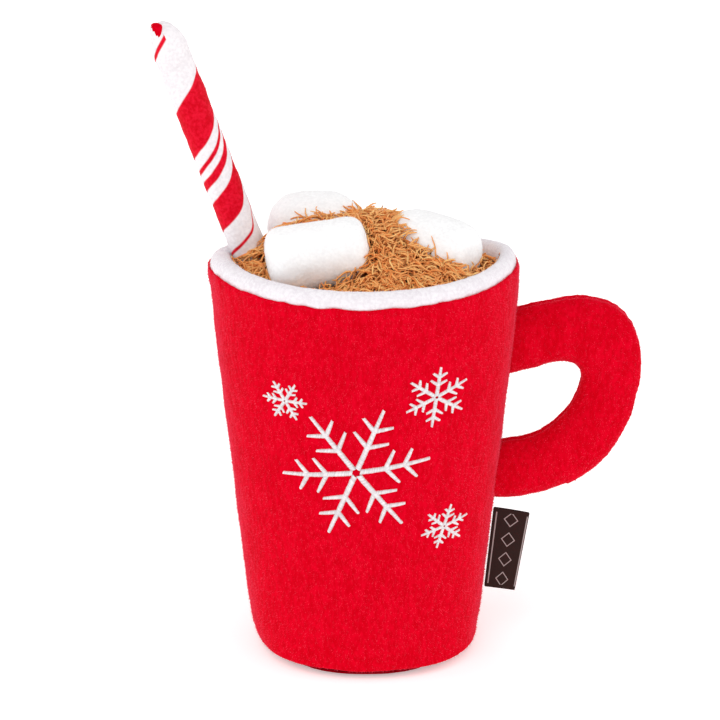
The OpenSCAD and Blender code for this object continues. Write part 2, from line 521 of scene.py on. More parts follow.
@dataclass(frozen=True)
class PileFinish:
    """Short velvety pile of one colour, lighter where hairs catch the light."""

    name: str
    deep: tuple[float, float, float]
    bright: tuple[float, float, float]
    sheen: float
    sheen_tint: tuple[float, float, float]
    sheen_roughness: float = 0.45
    stretch: tuple[float, float, float] = (1.0, 1.0, 0.45)
    fine: float = 900.0
    broad: float = 190.0
    relief: float = 0.5
    relief_mm: float = 0.5

    def grain(self, nodes: Nodes, group: bpy.types.NodeTree) -> bpy.types.Node:
        """Place the pile group in a material.

        Args:
            nodes: helper on the material's tree.
            group: the shared pile group.

        Returns:
            The group's node, with this finish's grain.
        """
        place = nodes.place(Scale=self.stretch)
        grain = nodes.add("Group", node_tree=group)
        nodes.tree.links.new(place, grain.inputs["Vector"])
        set_inputs(grain, {"Fine": self.fine, "Broad": self.broad})
        return grain

    def built(self, group: bpy.types.NodeTree) -> Material:
        """Build the material with the shared pile group.

        Args:
            group: the shared pile group.

        Returns:
            The material.
        """
        material, nodes, shader = new_material(self.name)
        grain = self.grain(nodes, group)
        colour = nodes.mixed(grain.outputs["Tone"], rgba(self.deep), rgba(self.bright))
        self.finish(nodes, shader, grain, colour)
        return material

    def finish(
        self, nodes: Nodes, shader: bpy.types.Node, grain: bpy.types.Node, colour: bpy.types.NodeSocket
    ) -> None:
        """Join colour and relief to the shader and set its constant values.

        Args:
            nodes: helper on the material's tree.
            shader: the Principled node.
            grain: the placed pile group.
            colour: the output that holds the pile's colour.
        """
        bump_inputs = {"Strength": self.relief, "Distance": self.relief_mm * MM}
        bump = nodes.add("Bump", {**bump_inputs, "Height": grain.outputs["Height"]})
        nodes.tree.links.new(colour, shader.inputs["Base Color"])
        nodes.tree.links.new(bump.outputs[0], shader.inputs["Normal"])
        set_inputs(
            shader,
            {
                "Roughness": 1.0,
                "Specular IOR Level": 0.0,
                "Sheen Weight": self.sheen,
                "Sheen Roughness": self.sheen_roughness,
                "Sheen Tint": rgba(self.sheen_tint),
            },
        )


@dataclass(frozen=True)
class StripeFinish(PileFinish):
    """White pile printed with red spiral stripes, set out from the stick's tip.

    The first stripe is short: it stops at the turn first_to, in radians round the stick.
    """

    red_deep: tuple[float, float, float] = (0.6, 0.002, 0.012)
    red_bright: tuple[float, float, float] = (0.76, 0.008, 0.03)
    bands_mm: tuple[tuple[float, float], ...] = (
        (2.4, 4.3),
        (23.1, 40.4),
        (44.4, 46.2),
        (49.0, 52.2),
        (56.8, 67.2),
        (74.8, 76.0),
    )
    half_turn_mm: float = 13.4
    blur_mm: float = 0.35
    wobble_mm: float = 0.8
    wobble_scale: float = 160.0
    first_to: float = 0.1

    def striped(self, axle: Axle, group: bpy.types.NodeTree) -> Material:
        """Build the material with its stripes turned round the stick's axis.

        Args:
            axle: the stick's middle line.
            group: the shared pile group.

        Returns:
            The material.
        """
        material, nodes, shader = new_material(self.name)
        grain = self.grain(nodes, group)
        own = nodes.place(
            vector_type="TEXTURE", Location=axle.foot, Rotation=Vector(axle.turn.to_euler())
        )
        axes = nodes.add("SeparateXYZ", {0: own}).outputs
        turn = nodes.math("ARCTAN2", axes[0], nodes.math("MULTIPLY", axes[1], -1.0))
        rise = self.half_turn_mm * MM / math.pi
        climb = nodes.math("MULTIPLY_ADD", turn, rise, axle.length)
        noise = {"Vector": own, "Scale": self.wobble_scale, "Detail": 1.0}
        wobble = nodes.add("TexNoise", noise).outputs[0]
        climb = nodes.math("MULTIPLY_ADD", wobble, self.wobble_mm * MM, climb)
        down = nodes.math("SUBTRACT", climb, axes[2])
        blur = self.blur_mm * MM
        on_left = nodes.math("LESS_THAN", turn, self.first_to)
        stripes: object = 0.0
        for number, (near, far) in enumerate(self.bands_mm):
            begins = nodes.stepped(down, near * MM - blur, near * MM + blur)
            ends = nodes.stepped(down, far * MM - blur, far * MM + blur)
            band = nodes.math("SUBTRACT", begins, ends)
            if number == 0:
                band = nodes.math("MULTIPLY", band, on_left)
            stripes = nodes.math("ADD", stripes, band)
        tone = grain.outputs["Tone"]
        white = nodes.mixed(tone, rgba(self.deep), rgba(self.bright))
        red = nodes.mixed(tone, rgba(self.red_deep), rgba(self.red_bright))
        self.finish(nodes, shader, grain, nodes.mixed(stripes, white, red))
        return material


@dataclass(frozen=True)
class YarnFinish:
    """Curly brown yarn, with painted shade that darkens each strand towards its root; further out it
    turns lighter, to its own tone between dark and light.
    """

    name: str = "cocoa_yarn"
    # root is painted shade: the colour each strand is darkened to at its root, where the yarn shades
    # itself.
    root: tuple[float, float, float] = (0.36, 0.1, 0.02)
    dark: tuple[float, float, float] = (0.92, 0.3, 0.065)
    light: tuple[float, float, float] = (1.0, 0.6, 0.22)
    roughness: float = 0.5
    specular: float = 0.35

    def built(self) -> Material:
        """Build the material, which reads the strands' own attributes.

        Returns:
            The material.
        """
        material, nodes, shader = new_material(self.name)
        along = nodes.add("Attribute", attribute_name="along").outputs["Fac"]
        tone = nodes.add("Attribute", attribute_name="tone").outputs["Fac"]
        body = nodes.mixed(tone, rgba(self.dark), rgba(self.light))
        # Painted shade: each strand darkens towards its root.
        colour = nodes.mixed(nodes.stepped(along, 0.05, 0.55), rgba(self.root), body)
        nodes.tree.links.new(colour, shader.inputs["Base Color"])
        set_inputs(shader, {"Roughness": self.roughness, "Specular IOR Level": self.specular})
        return material


@dataclass(frozen=True)
class ThreadFinish:
    """Smooth shiny embroidery thread."""

    name: str = "embroidery_thread"
    deep: tuple[float, float, float] = (0.74, 0.7, 0.72)
    bright: tuple[float, float, float] = (0.93, 0.91, 0.92)
    roughness: float = 0.42
    specular: float = 0.4

    def built(self) -> Material:
        """Build the material, which reads each thread's own tone.

        Returns:
            The material.
        """
        material, nodes, shader = new_material(self.name)
        tone = nodes.add("Attribute", attribute_name="tone").outputs["Fac"]
        colour = nodes.mixed(tone, rgba(self.deep), rgba(self.bright))
        nodes.tree.links.new(colour, shader.inputs["Base Color"])
        set_inputs(shader, {"Roughness": self.roughness, "Specular IOR Level": self.specular})
        return material


@dataclass(frozen=True)
class RibbonFinish:
    """Woven dark ribbon with a plain pale border and a row of small diamonds."""

    name: str = "woven_ribbon"
    ground: tuple[float, float, float] = (0.014, 0.005, 0.004)
    weft: tuple[float, float, float] = (0.034, 0.014, 0.011)
    thread: tuple[float, float, float] = (0.5, 0.44, 0.43)
    ribs: float = 150.0
    diamonds: int = 4

    def built(self) -> Material:
        """Build the material on the ribbon's own UV map, whose V runs up the label.

        Returns:
            The material.
        """
        material, nodes, shader = new_material(self.name)
        uv = nodes.add("UVMap", uv_map="ribbon").outputs[0]
        axes = nodes.add("SeparateXYZ", {0: uv}).outputs
        across, up = axes[0], axes[1]
        rib = nodes.math("SINE", nodes.math("MULTIPLY", up, self.ribs * math.pi))
        cross = nodes.math("SINE", nodes.math("MULTIPLY", across, self.ribs * 0.9 * math.pi))
        weave = nodes.math("MULTIPLY_ADD", rib, 0.3, nodes.math("MULTIPLY_ADD", cross, 0.2, 0.5))
        ground = nodes.mixed(weave, rgba(self.ground), rgba(self.weft))
        from_side = nodes.math("ABSOLUTE", nodes.math("SUBTRACT", across, 0.5))
        from_end = nodes.math("ABSOLUTE", nodes.math("SUBTRACT", up, 0.5))
        cell = nodes.math("FRACT", nodes.math("MULTIPLY", up, float(self.diamonds)))
        from_cell = nodes.math("ABSOLUTE", nodes.math("SUBTRACT", cell, 0.5))
        shape = nodes.math("ADD", nodes.math("MULTIPLY", from_side, 1.9), from_cell)
        outline = nodes.math("ABSOLUTE", nodes.math("SUBTRACT", shape, 0.34))
        diamond = nodes.math("SUBTRACT", 1.0, nodes.stepped(outline, 0.02, 0.04))
        inside = nodes.math("LESS_THAN", from_end, 0.45)
        from_line = nodes.math("ABSOLUTE", nodes.math("SUBTRACT", from_side, 0.4))
        side_line = nodes.stepped(from_line, 0.02, 0.012)
        pattern = nodes.math("MULTIPLY", nodes.math("MAXIMUM", diamond, side_line), inside)
        colour = nodes.mixed(nodes.math("MULTIPLY", pattern, 0.8), ground, rgba(self.thread))
        bump = nodes.add("Bump", {"Strength": 0.4, "Distance": 0.1 * MM, "Height": weave})
        nodes.tree.links.new(colour, shader.inputs["Base Color"])
        nodes.tree.links.new(bump.outputs[0], shader.inputs["Normal"])
        set_inputs(shader, {"Roughness": 0.6, "Specular IOR Level": 0.15})
        return material


RED_PLUSH = PileFinish(
    "red_pile", (0.58, 0.0003, 0.008), (0.7, 0.0012, 0.016), 0.8, (1.0, 0.13, 0.22),
    sheen_roughness=0.3,
)
# Painted shade: the base panel is the same red fabric as the wall, painted far darker to stand for the
# shadow under the mug's foot.
BASE_PLUSH_PAINTED_SHADE = PileFinish(
    "base_pile_painted_shade", (0.2, 0.0003, 0.004), (0.26, 0.0006, 0.006), 0.1, (1.0, 0.13, 0.22),
)
# Painted sheen: the red hairs are coloured lighter and pinker than the red pile, so that the edges,
# where more hairs show, look lit at grazing angles.
RED_NAP_PAINTED_SHEEN = PileFinish(
    "red_hairs_painted_sheen", (0.84, 0.018, 0.046), (1.0, 0.062, 0.115), 0.8, (1.0, 0.24, 0.34),
    sheen_roughness=0.3, relief=0.0,
)
WHITE_PLUSH = PileFinish(
    "white_pile", (0.91, 0.905, 0.91), (0.975, 0.972, 0.975), 0.1, (1.0, 1.0, 1.0),
    stretch=(1.0, 1.0, 1.0), relief=0.35,
)
WHITE_NAP = PileFinish(
    "white_hairs", (0.95, 0.947, 0.95), (0.99, 0.988, 0.99), 0.1, (1.0, 1.0, 1.0), relief=0.0
)
RIM_PLUSH = PileFinish(
    "rim_pile", (0.78, 0.73, 0.77), (0.87, 0.835, 0.865), 0.1, (1.0, 0.97, 1.0),
    stretch=(1.0, 1.0, 1.0), relief=0.4,
)
STRIPED_PLUSH = StripeFinish(
    "striped_pile", (0.8, 0.755, 0.78), (0.89, 0.85, 0.87), 0.1, (1.0, 0.95, 0.96),
    stretch=(1.0, 1.0, 1.0), relief=0.35,
)
# Painted shade: the backing under the yarn is coloured far darker than the yarn, to stand for the
# shade in the gaps between strands.
COCOA_BACKING_PAINTED_SHADE = PileFinish(
    "cocoa_backing_painted_shade", (0.07, 0.017, 0.005), (0.2, 0.055, 0.012), 0.0, (1.0, 1.0, 1.0),
    stretch=(1.0, 1.0, 1.0),
)


@dataclass
class Finishes:
    """Every material of the toy, built once."""

    pile: bpy.types.NodeTree = field(default_factory=pile_group)

    def __post_init__(self) -> None:
        """Build the materials that several pieces share."""
        self.red = RED_PLUSH.built(self.pile)
        # base holds the panel's darker red, which is painted shade.
        self.base = BASE_PLUSH_PAINTED_SHADE.built(self.pile)
        self.red_nap_painted_sheen = RED_NAP_PAINTED_SHEEN.built(self.pile)
        self.white = WHITE_PLUSH.built(self.pile)
        self.white_nap = WHITE_NAP.built(self.pile)
        self.rim = RIM_PLUSH.built(self.pile)
        self.striped = STRIPED_PLUSH.striped(Axle.through("peppermint_stick"), self.pile)
        # backing holds the dark painted shade that shows between the strands.
        self.backing = COCOA_BACKING_PAINTED_SHADE.built(self.pile)
        self.yarn = YarnFinish().built()
        self.thread = ThreadFinish().built()
        self.ribbon = RibbonFinish().built()


# ---------------------------------------------------------------- stuffed pieces


@dataclass(frozen=True)
class Padding:
    """How a closed cloth skin is filled: lengths in millimetres."""

    voxel: float = 4.0
    smoothing: int = 6
    inset: float = 1.0
    pressure: float = 4.0
    cap: float = 1.2
    levels: int = 2
    frames: int = 20
    quality: int = 5
    stretch_stiffness: float = 12.0
    bending_stiffness: float = 0.6

    def fill(self, piece: Object) -> None:
        """Remesh a piece, blow it up as cloth, cap its movement and refine it.

        Args:
            piece: the closed mesh object, changed in place.
        """
        worked(piece, "REMESH", mode="VOXEL", voxel_size=self.voxel * MM)
        worked(piece, "SMOOTH", factor=0.5, iterations=self.smoothing)
        start = points_of(piece)
        move_points(piece, start - normals_of(piece) * self.inset * MM)
        self.blow_up(piece)
        moved = points_of(piece) - start
        length = np.linalg.norm(moved, axis=1, keepdims=True)
        capped = moved * np.minimum(1, self.cap * MM / np.maximum(length, 1e-9))
        move_points(piece, start + capped)
        log.info("  %s swelled by up to %.2f mm", piece.name, length.max() / MM)
        worked(piece, "SUBSURF", levels=self.levels, render_levels=self.levels)

    def blow_up(self, piece: Object) -> None:
        """Run the cloth under pressure without gravity and apply it.

        Args:
            piece: the mesh object, changed in place.
        """
        activate(piece)
        cloth = piece.modifiers.new("filling", "CLOTH")
        settings = cloth.settings
        settings.quality = self.quality
        settings.use_pressure = True
        settings.uniform_pressure_force = self.pressure
        settings.effector_weights.gravity = 0
        settings.tension_stiffness = self.stretch_stiffness
        settings.compression_stiffness = self.stretch_stiffness
        settings.bending_stiffness = self.bending_stiffness
        cloth.point_cache.frame_start = 1
        cloth.point_cache.frame_end = self.frames
        for number in range(1, self.frames + 1):
            bpy.context.scene.frame_set(number)
        bpy.ops.object.modifier_apply(modifier=cloth.name)
        bpy.context.scene.frame_set(1)


def roughened(piece: Object, size_mm: float, depth_mm: float) -> None:
    """Raise and lower a surface a little with a cloudy texture.

    Args:
        piece: the mesh object, changed in place.
        size_mm: size of the clouds.
        depth_mm: full height from the lowest to the highest point.
    """
    texture = bpy.data.textures.new("clouds_" + piece.name, "CLOUDS")
    texture.noise_scale = size_mm * MM
    texture.noise_depth = 1
    worked(piece, "DISPLACE", texture=texture, strength=depth_mm * MM, mid_level=0.5)


def pushed_out(points: Array, tree: BVHTree, clear: float, reach: float) -> Array:
    """Push points out of a closed surface.

    Args:
        points: one row for each point.
        tree: search tree of the surface.
        clear: distance that every point keeps from the surface.
        reach: distance beyond which points are left alone.

    Returns:
        The moved points.
    """
    moved = points.copy()
    for i, point in enumerate(points):
        near, normal, _, _ = tree.find_nearest(Vector(point), reach)
        if near is not None and (Vector(point) - near).dot(normal) < clear:
            moved[i] = near + normal * clear
    return moved


@dataclass
class MugWall:
    """Red wall of the mug with its side seams, its lip and its foot.

    Each of lift, lip, lean, waist, foot, square and kick is a distance that the wall is moved,
    and the field named after it with _reach says how far up or down the move fades.
    """

    padding: Padding = Padding(voxel=3.2, cap=0.8, inset=0.7, smoothing=5)
    evening: int = 4
    swells_mm: tuple[float, float] = (12.0, 0.5)
    fuzz_mm: tuple[float, float] = (2.0, 0.18)
    lift: float = 4.3 * MM
    lift_reach: float = 3.5 * MM
    lift_w: float = 3.0 * MM
    lip: float = 2.2 * MM
    lip_below: float = 1.5 * MM
    lip_reach: float = 4.0 * MM
    lean: float = 0.7 * MM
    lean_reach: float = 8.0 * MM
    waist: float = 0.4 * MM
    waist_below: float = 15.0 * MM
    waist_reach: float = 6.0 * MM
    foot: float = 4.2 * MM
    foot_reach: float = 4.2 * MM
    square: float = 2.0 * MM
    square_reach: float = 9.0 * MM
    kick: float = 1.1 * MM
    kick_reach: float = 6.0 * MM
    hem: float = 2.2 * MM
    floor_r: float = 34.0 * MM
    middle_r: float = 10.0 * MM
    seam_depth: float = 0.9 * MM
    seam_half_w: float = 1.1 * MM
    seam_from: float = 6.0 * MM
    seam_fade: float = 10.0 * MM
    stitch_pitch: float = 4.0 * MM
    pucker: float = 0.12 * MM
    pucker_pitch: float = 11.0 * MM
    pucker_reach: float = 7.0 * MM
    small_puckers: int = 37
    edge_w: float = 3.5 * MM
    edge_h: float = 8.0 * MM
    edge_slots: int = 120

    def build(self, finishes: Finishes, mouth: Mouth) -> Object:
        """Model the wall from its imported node.

        Args:
            finishes: the toy's materials.
            mouth: the sewn mouth.

        Returns:
            The finished wall.
        """
        wall = copied_node("mug_body", "mug_wall")
        self.padding.fill(wall)
        worked(wall, "SMOOTH", factor=0.5, iterations=self.evening)
        self.sew(wall, mouth)
        roughened(wall, *self.swells_mm)
        roughened(wall, *self.fuzz_mm)
        dressed(wall, finishes.red, Slot.RED, "mug_body")
        return wall

    def sew(self, wall: Object, mouth: Mouth) -> None:
        """Press the seams in, even the top edge, and draw the lip and the foot out.

        Args:
            wall: the filled wall, changed in place.
            mouth: the sewn mouth.
        """
        points = points_of(wall)
        radius = np.hypot(points[:, 0], points[:, 1])
        angle = np.arctan2(points[:, 1], points[:, 0])
        outside = radius > mouth.seam_r - mouth.bead_w
        near_mouth = hump(mouth.seam_z(angle) - points[:, 2], self.pucker_reach) * outside
        press = self.seams(points) * outside + self.puckers(angle, mouth) * near_mouth
        points = points - normals_of(wall) * press[:, None]
        points[:, 2] += self.unevenness(points, mouth) * near_mouth
        below = mouth.seam_z(angle) - points[:, 2]
        at_edge = eased((radius - mouth.seam_r) / self.lift_w + 1)
        points[:, 2] += self.lift * hump(below, self.lift_reach) * at_edge
        out = self.lip * hump(below - self.lip_below, self.lip_reach) * outside
        out -= self.waist * hump(below - self.waist_below, self.waist_reach)
        out += self.foot_line(points[:, 2], angle) * (radius > self.floor_r)
        points[:, :2] *= (1 + out / np.maximum(radius, self.middle_r))[:, None]
        points[:, 0] -= self.lean * hump(below, self.lean_reach) * outside
        points[:, 0] += self.kick * hump(points[:, 2], self.kick_reach)
        points[:, 2] = np.maximum(points[:, 2], self.hem)
        move_points(wall, points)

    def seams(self, points: Array) -> Array:
        """Return how deep the two side seams press the wall in.

        Args:
            points: one row for each point of the wall.

        Returns:
            One depth for each point.
        """
        above_foot = eased((points[:, 2] - self.seam_from) / self.seam_fade)
        stitch = 0.75 + 0.25 * np.cos(points[:, 2] * 2 * math.pi / self.stitch_pitch)
        return self.seam_depth * hump(points[:, 1], self.seam_half_w) * above_foot * stitch

    def puckers(self, angle: Array, mouth: Mouth) -> Array:
        """Return how deep the gathers under the mouth are.

        Args:
            angle: angles round the mug's axis.
            mouth: the sewn mouth.

        Returns:
            One depth for each angle.
        """
        large = np.sin(angle * mouth.seam_r / self.pucker_pitch * 2 * math.pi)
        small = 0.6 * np.sin(angle * self.small_puckers + 1.3)
        return self.pucker / 2 * (1 + large + small)

    def foot_line(self, height: Array, angle: Array) -> Array:
        """Return how far the wall stands out at its foot, most at the four corners.

        Args:
            height: heights above the floor.
            angle: angles round the mug's axis.

        Returns:
            One distance for each pair.
        """
        corners = np.sin(2 * angle) ** 2 * hump(height, self.square_reach)
        return self.foot * hump(height, self.foot_reach) + self.square * corners

    def unevenness(self, points: Array, mouth: Mouth) -> Array:
        """Return how far the wall's top edge falls short of an even line.

        Args:
            points: one row for each point of the wall.
            mouth: the sewn mouth.

        Returns:
            The shortfall of the edge at each point's angle.
        """
        radius = np.hypot(points[:, 0], points[:, 1])
        angle = np.arctan2(points[:, 1], points[:, 0])
        over = points[:, 2] - mouth.seam_z(angle)
        near = (radius > mouth.seam_r - self.edge_w) & (over > -self.edge_h)
        slots = self.edge_slots
        slot = ((angle / math.pi + 1) / 2 * slots).astype(int) % slots
        top = np.full(slots, over[near].min())
        np.maximum.at(top, slot[near], over[near])
        short = np.median(top) - top
        short = (np.roll(short, 1) + 2 * short + np.roll(short, -1)) / 4
        log.info("  the wall's top edge was uneven by up to %.2f mm", np.abs(short).max() / MM)
        middles = ((np.arange(slots) + 0.5) / slots * 2 - 1) * math.pi
        return np.interp(angle, middles, short, period=2 * math.pi)


@dataclass
class BasePanel:
    """Round padded panel under the mug, coloured a much darker red than the wall as painted shade, so
    that its edge shows as a dark line at the floor.
    """

    padding: Padding = Padding(voxel=2.0, inset=0.3, cap=0.5, smoothing=3, levels=1)
    spread: float = 1.07

    def build(self, finishes: Finishes) -> Object:
        """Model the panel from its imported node.

        Args:
            finishes: the toy's materials.

        Returns:
            The finished panel.
        """
        panel = copied_node("base_panel", "base_panel_plush")
        self.padding.fill(panel)
        points = points_of(panel)
        points[:, 2] = np.maximum(points[:, 2], 0.0)
        points[:, :2] *= self.spread
        move_points(panel, points)
        # The panel's darker red is painted shade for the shadow under the foot.
        dressed(panel, finishes.base, Slot.RED, "base_panel")
        return panel


@dataclass
class Rim:
    """White padded band sewn round the mouth."""

    sides: int = 28
    turns: int = 300
    wider: float = 0.5 * MM
    lean: float = 0.7 * MM
    under: float = 2.8 * MM
    swell: float = 0.35 * MM
    pucker: float = 0.06 * MM
    puckers: tuple[tuple[int, float], ...] = ((41, 0.0), (67, 2.1), (23, 0.7))
    swells_mm: tuple[float, float] = (5.0, 0.15)
    fuzz_mm: tuple[float, float] = (1.6, 0.22)
    stick_gap: float = 0.1 * MM

    def build(self, finishes: Finishes, mouth: Mouth, stick: Axle) -> Object:
        """Model the band as a ring that follows the mouth and gives way to the stick.

        Args:
            finishes: the toy's materials.
            mouth: the sewn mouth.
            stick: the stick's middle line.

        Returns:
            The finished band.
        """
        deselect()
        bpy.ops.mesh.primitive_torus_add(
            major_segments=self.turns,
            minor_segments=self.sides,
            major_radius=mouth.seam_r - mouth.bead_w / 2 + self.wider / 2,
            minor_radius=(mouth.bead_w + self.wider) / 2,
        )
        band = bpy.context.object
        band.name = band.data.name = "rim_plush"
        points = points_of(band)
        angle = np.arctan2(points[:, 1], points[:, 0])
        height = points[:, 2] / points[:, 2].max()
        above = height * np.where(height > 0, mouth.bead_h + self.swell, self.under)
        wave = sum(np.sin(angle * count + start) for count, start in self.puckers)
        above += self.pucker * wave / len(self.puckers) * (0.4 + np.maximum(height, 0))
        points[:, 2] = mouth.seam_z(angle) + above
        radius = np.hypot(points[:, 0], points[:, 1])
        points[:, 0] -= self.lean * eased((radius - mouth.seam_r + mouth.bead_w) / mouth.bead_w)
        move_points(band, self.beside(points, stick))
        roughened(band, *self.swells_mm)
        roughened(band, *self.fuzz_mm)
        dressed(band, finishes.rim, Slot.WHITE, "rim_band")
        return band

    def beside(self, points: Array, stick: Axle) -> Array:
        """Press the points that the stick leans on outwards from its axis.

        Args:
            points: one row for each point of the band.
            stick: the stick's middle line.

        Returns:
            The moved points.
        """
        own = stick.local(points)
        radius = np.hypot(own[:, 0], own[:, 1])
        low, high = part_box("peppermint_stick")
        room = (high - low).y / 2 + self.stick_gap
        near = (radius < room) & (own[:, 2] > 0)
        scale = np.where(near, room / np.maximum(radius, 1e-6), 1.0)
        own[:, :2] *= scale[:, None]
        return stick.world(own)


@dataclass
class Marshmallow:
    """Small stuffed white pillow that lies in the cocoa.

    narrowing and blunt are shares of its own size. longer and raised are in millimetres, and
    say how far its ends are drawn apart and how far its right end is lifted.
    """

    node: str
    narrowing: float
    longer: float
    raised: float
    blunt: float
    padding: Padding = Padding(voxel=1.8, inset=0.9, cap=0.5, smoothing=3)
    swells_mm: tuple[float, float] = (11.0, 1.0)
    fuzz_mm: tuple[float, float] = (2.0, 0.12)

    def build(self, finishes: Finishes) -> Object:
        """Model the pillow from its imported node.

        Args:
            finishes: the toy's materials.

        Returns:
            The finished pillow.
        """
        pillow = copied_node(self.node, self.node + "_plush")
        self.padding.fill(pillow)
        self.round_off(pillow)
        roughened(pillow, *self.swells_mm)
        roughened(pillow, *self.fuzz_mm)
        dressed(pillow, finishes.white, Slot.WHITE, self.node)
        return pillow

    def round_off(self, pillow: Object) -> None:
        """Narrow the pillow's ends, swell its middle, stretch it and raise its right end.

        Args:
            pillow: the filled pillow, changed in place.
        """
        points = points_of(pillow)
        middle = points.mean(0)
        along = unit(np.linalg.svd(points - middle, full_matrices=False)[2][0])
        along = along if along[0] > 0 else -along
        reach = (points - middle) @ along
        half = np.abs(reach).max()
        share = reach / half
        off = points - middle - reach[:, None] * along
        scale = 1 + self.narrowing * (0.25 - share**2)
        blunter = np.sign(share) * (1 - (1 - np.abs(share)) ** (1 + self.blunt))
        reach = blunter * half + self.longer * MM * share
        placed = middle + reach[:, None] * along + off * scale[:, None]
        placed[:, 2] += self.raised * MM * share
        move_points(pillow, placed)


@dataclass
class PeppermintStick:
    """Striped stuffed stick with a domed tip and a small knot on it."""

    axle: Axle
    padding: Padding = Padding(voxel=1.4, inset=0.5, cap=0.35, smoothing=3)
    swells_mm: tuple[float, float] = (7.0, 0.5)
    fuzz_mm: tuple[float, float] = (1.6, 0.2)
    fuller: float = 1.06
    seam_half_w: float = 0.8 * MM
    seam_share: float = 0.08
    dome_from: float = 9.0 * MM
    dome_past: float = 2.2 * MM
    dome_blend: float = 0.12
    folds: int = 9
    fold_share: float = 0.05
    knot_size: tuple[float, float, float] = (2.8 * MM, 2.8 * MM, 3.2 * MM)
    knot_at: tuple[float, float, float] = (-1.6 * MM, -2.4 * MM, -0.2 * MM)
    knot_folds: int = 5
    knot_fold_share: float = 0.1
    knot_red: tuple[float, float, float] = (0.75, -0.15, 0.6)
    knot_red_from: float = 0.02

    def build(self, finishes: Finishes) -> Object:
        """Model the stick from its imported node.

        Args:
            finishes: the toy's materials.

        Returns:
            The finished stick.
        """
        stick = copied_node("peppermint_stick", "peppermint_stick_plush")
        self.padding.fill(stick)
        self.shape(stick)
        roughened(stick, *self.swells_mm)
        roughened(stick, *self.fuzz_mm)
        dressed(stick, finishes.striped, Slot.STRIPED, "peppermint_stick")
        return stick

    def shape(self, stick: Object) -> None:
        """Fill the stick out, dome its tip and press its seam in at the back.

        Args:
            stick: the filled stick, changed in place.
        """
        own = self.axle.local(points_of(stick))
        radius = np.hypot(own[:, 0], own[:, 1])
        turn = np.arctan2(own[:, 1], own[:, 0])
        start = self.axle.length - self.dome_from
        below_dome = (own[:, 2] < start) & (own[:, 2] > start - self.dome_from)
        full = np.median(radius[below_dome])
        seam = hump((turn - math.pi / 2) * full, self.seam_half_w)
        own[:, :2] *= (self.fuller - seam * self.seam_share)[:, None]
        risen = np.clip((own[:, 2] - start) / self.dome_from, 0, 1)
        inward = (1 - np.minimum(radius / (full * 0.97), 1)) * full
        share = (risen * self.dome_from + inward) / (self.dome_from + full)
        arc = share * math.pi / 2
        fold = 1 - self.fold_share * share**2 * np.cos(turn * self.folds)
        domed = full * self.fuller * np.cos(arc) * fold
        blend = eased(risen / self.dome_blend)
        wide = np.hypot(own[:, 0], own[:, 1])
        target = wide * (1 - blend) + domed * blend
        own[:, :2] *= (target / np.maximum(wide, 1e-6))[:, None]
        tall = start + (self.dome_from + self.dome_past) * np.sin(arc)
        own[:, 2] = np.where(risen > 0, own[:, 2] * (1 - blend) + tall * blend, own[:, 2])
        move_points(stick, self.axle.world(own))

    def knot(self, finishes: Finishes) -> Object:
        """Model the little gathered knot on the tip, red above and to the right.

        Args:
            finishes: the toy's materials.

        Returns:
            The finished knot.
        """
        deselect()
        bpy.ops.mesh.primitive_uv_sphere_add(segments=32, ring_count=20, radius=1.0)
        knot = bpy.context.object
        knot.name = knot.data.name = "peppermint_knot"
        ball = points_of(knot)
        turn = np.arctan2(ball[:, 1], ball[:, 0])
        gather = (0.5 - 0.5 * np.cos(turn * self.knot_folds)) * (1 - ball[:, 2] ** 2)
        folded = ball * (1 - self.knot_fold_share * gather)[:, None]
        own = folded * self.knot_size + self.knot_at + [0, 0, self.axle.length]
        move_points(knot, self.axle.world(own))
        dressed(knot, finishes.striped, Slot.STRIPED)
        knot.data.materials.append(finishes.red)
        middle = Vector(points_of(knot).mean(0))
        for face in knot.data.polygons:
            towards = (face.center - middle).normalized()
            face.material_index = int(towards.dot(Vector(self.knot_red)) > self.knot_red_from)
        return knot


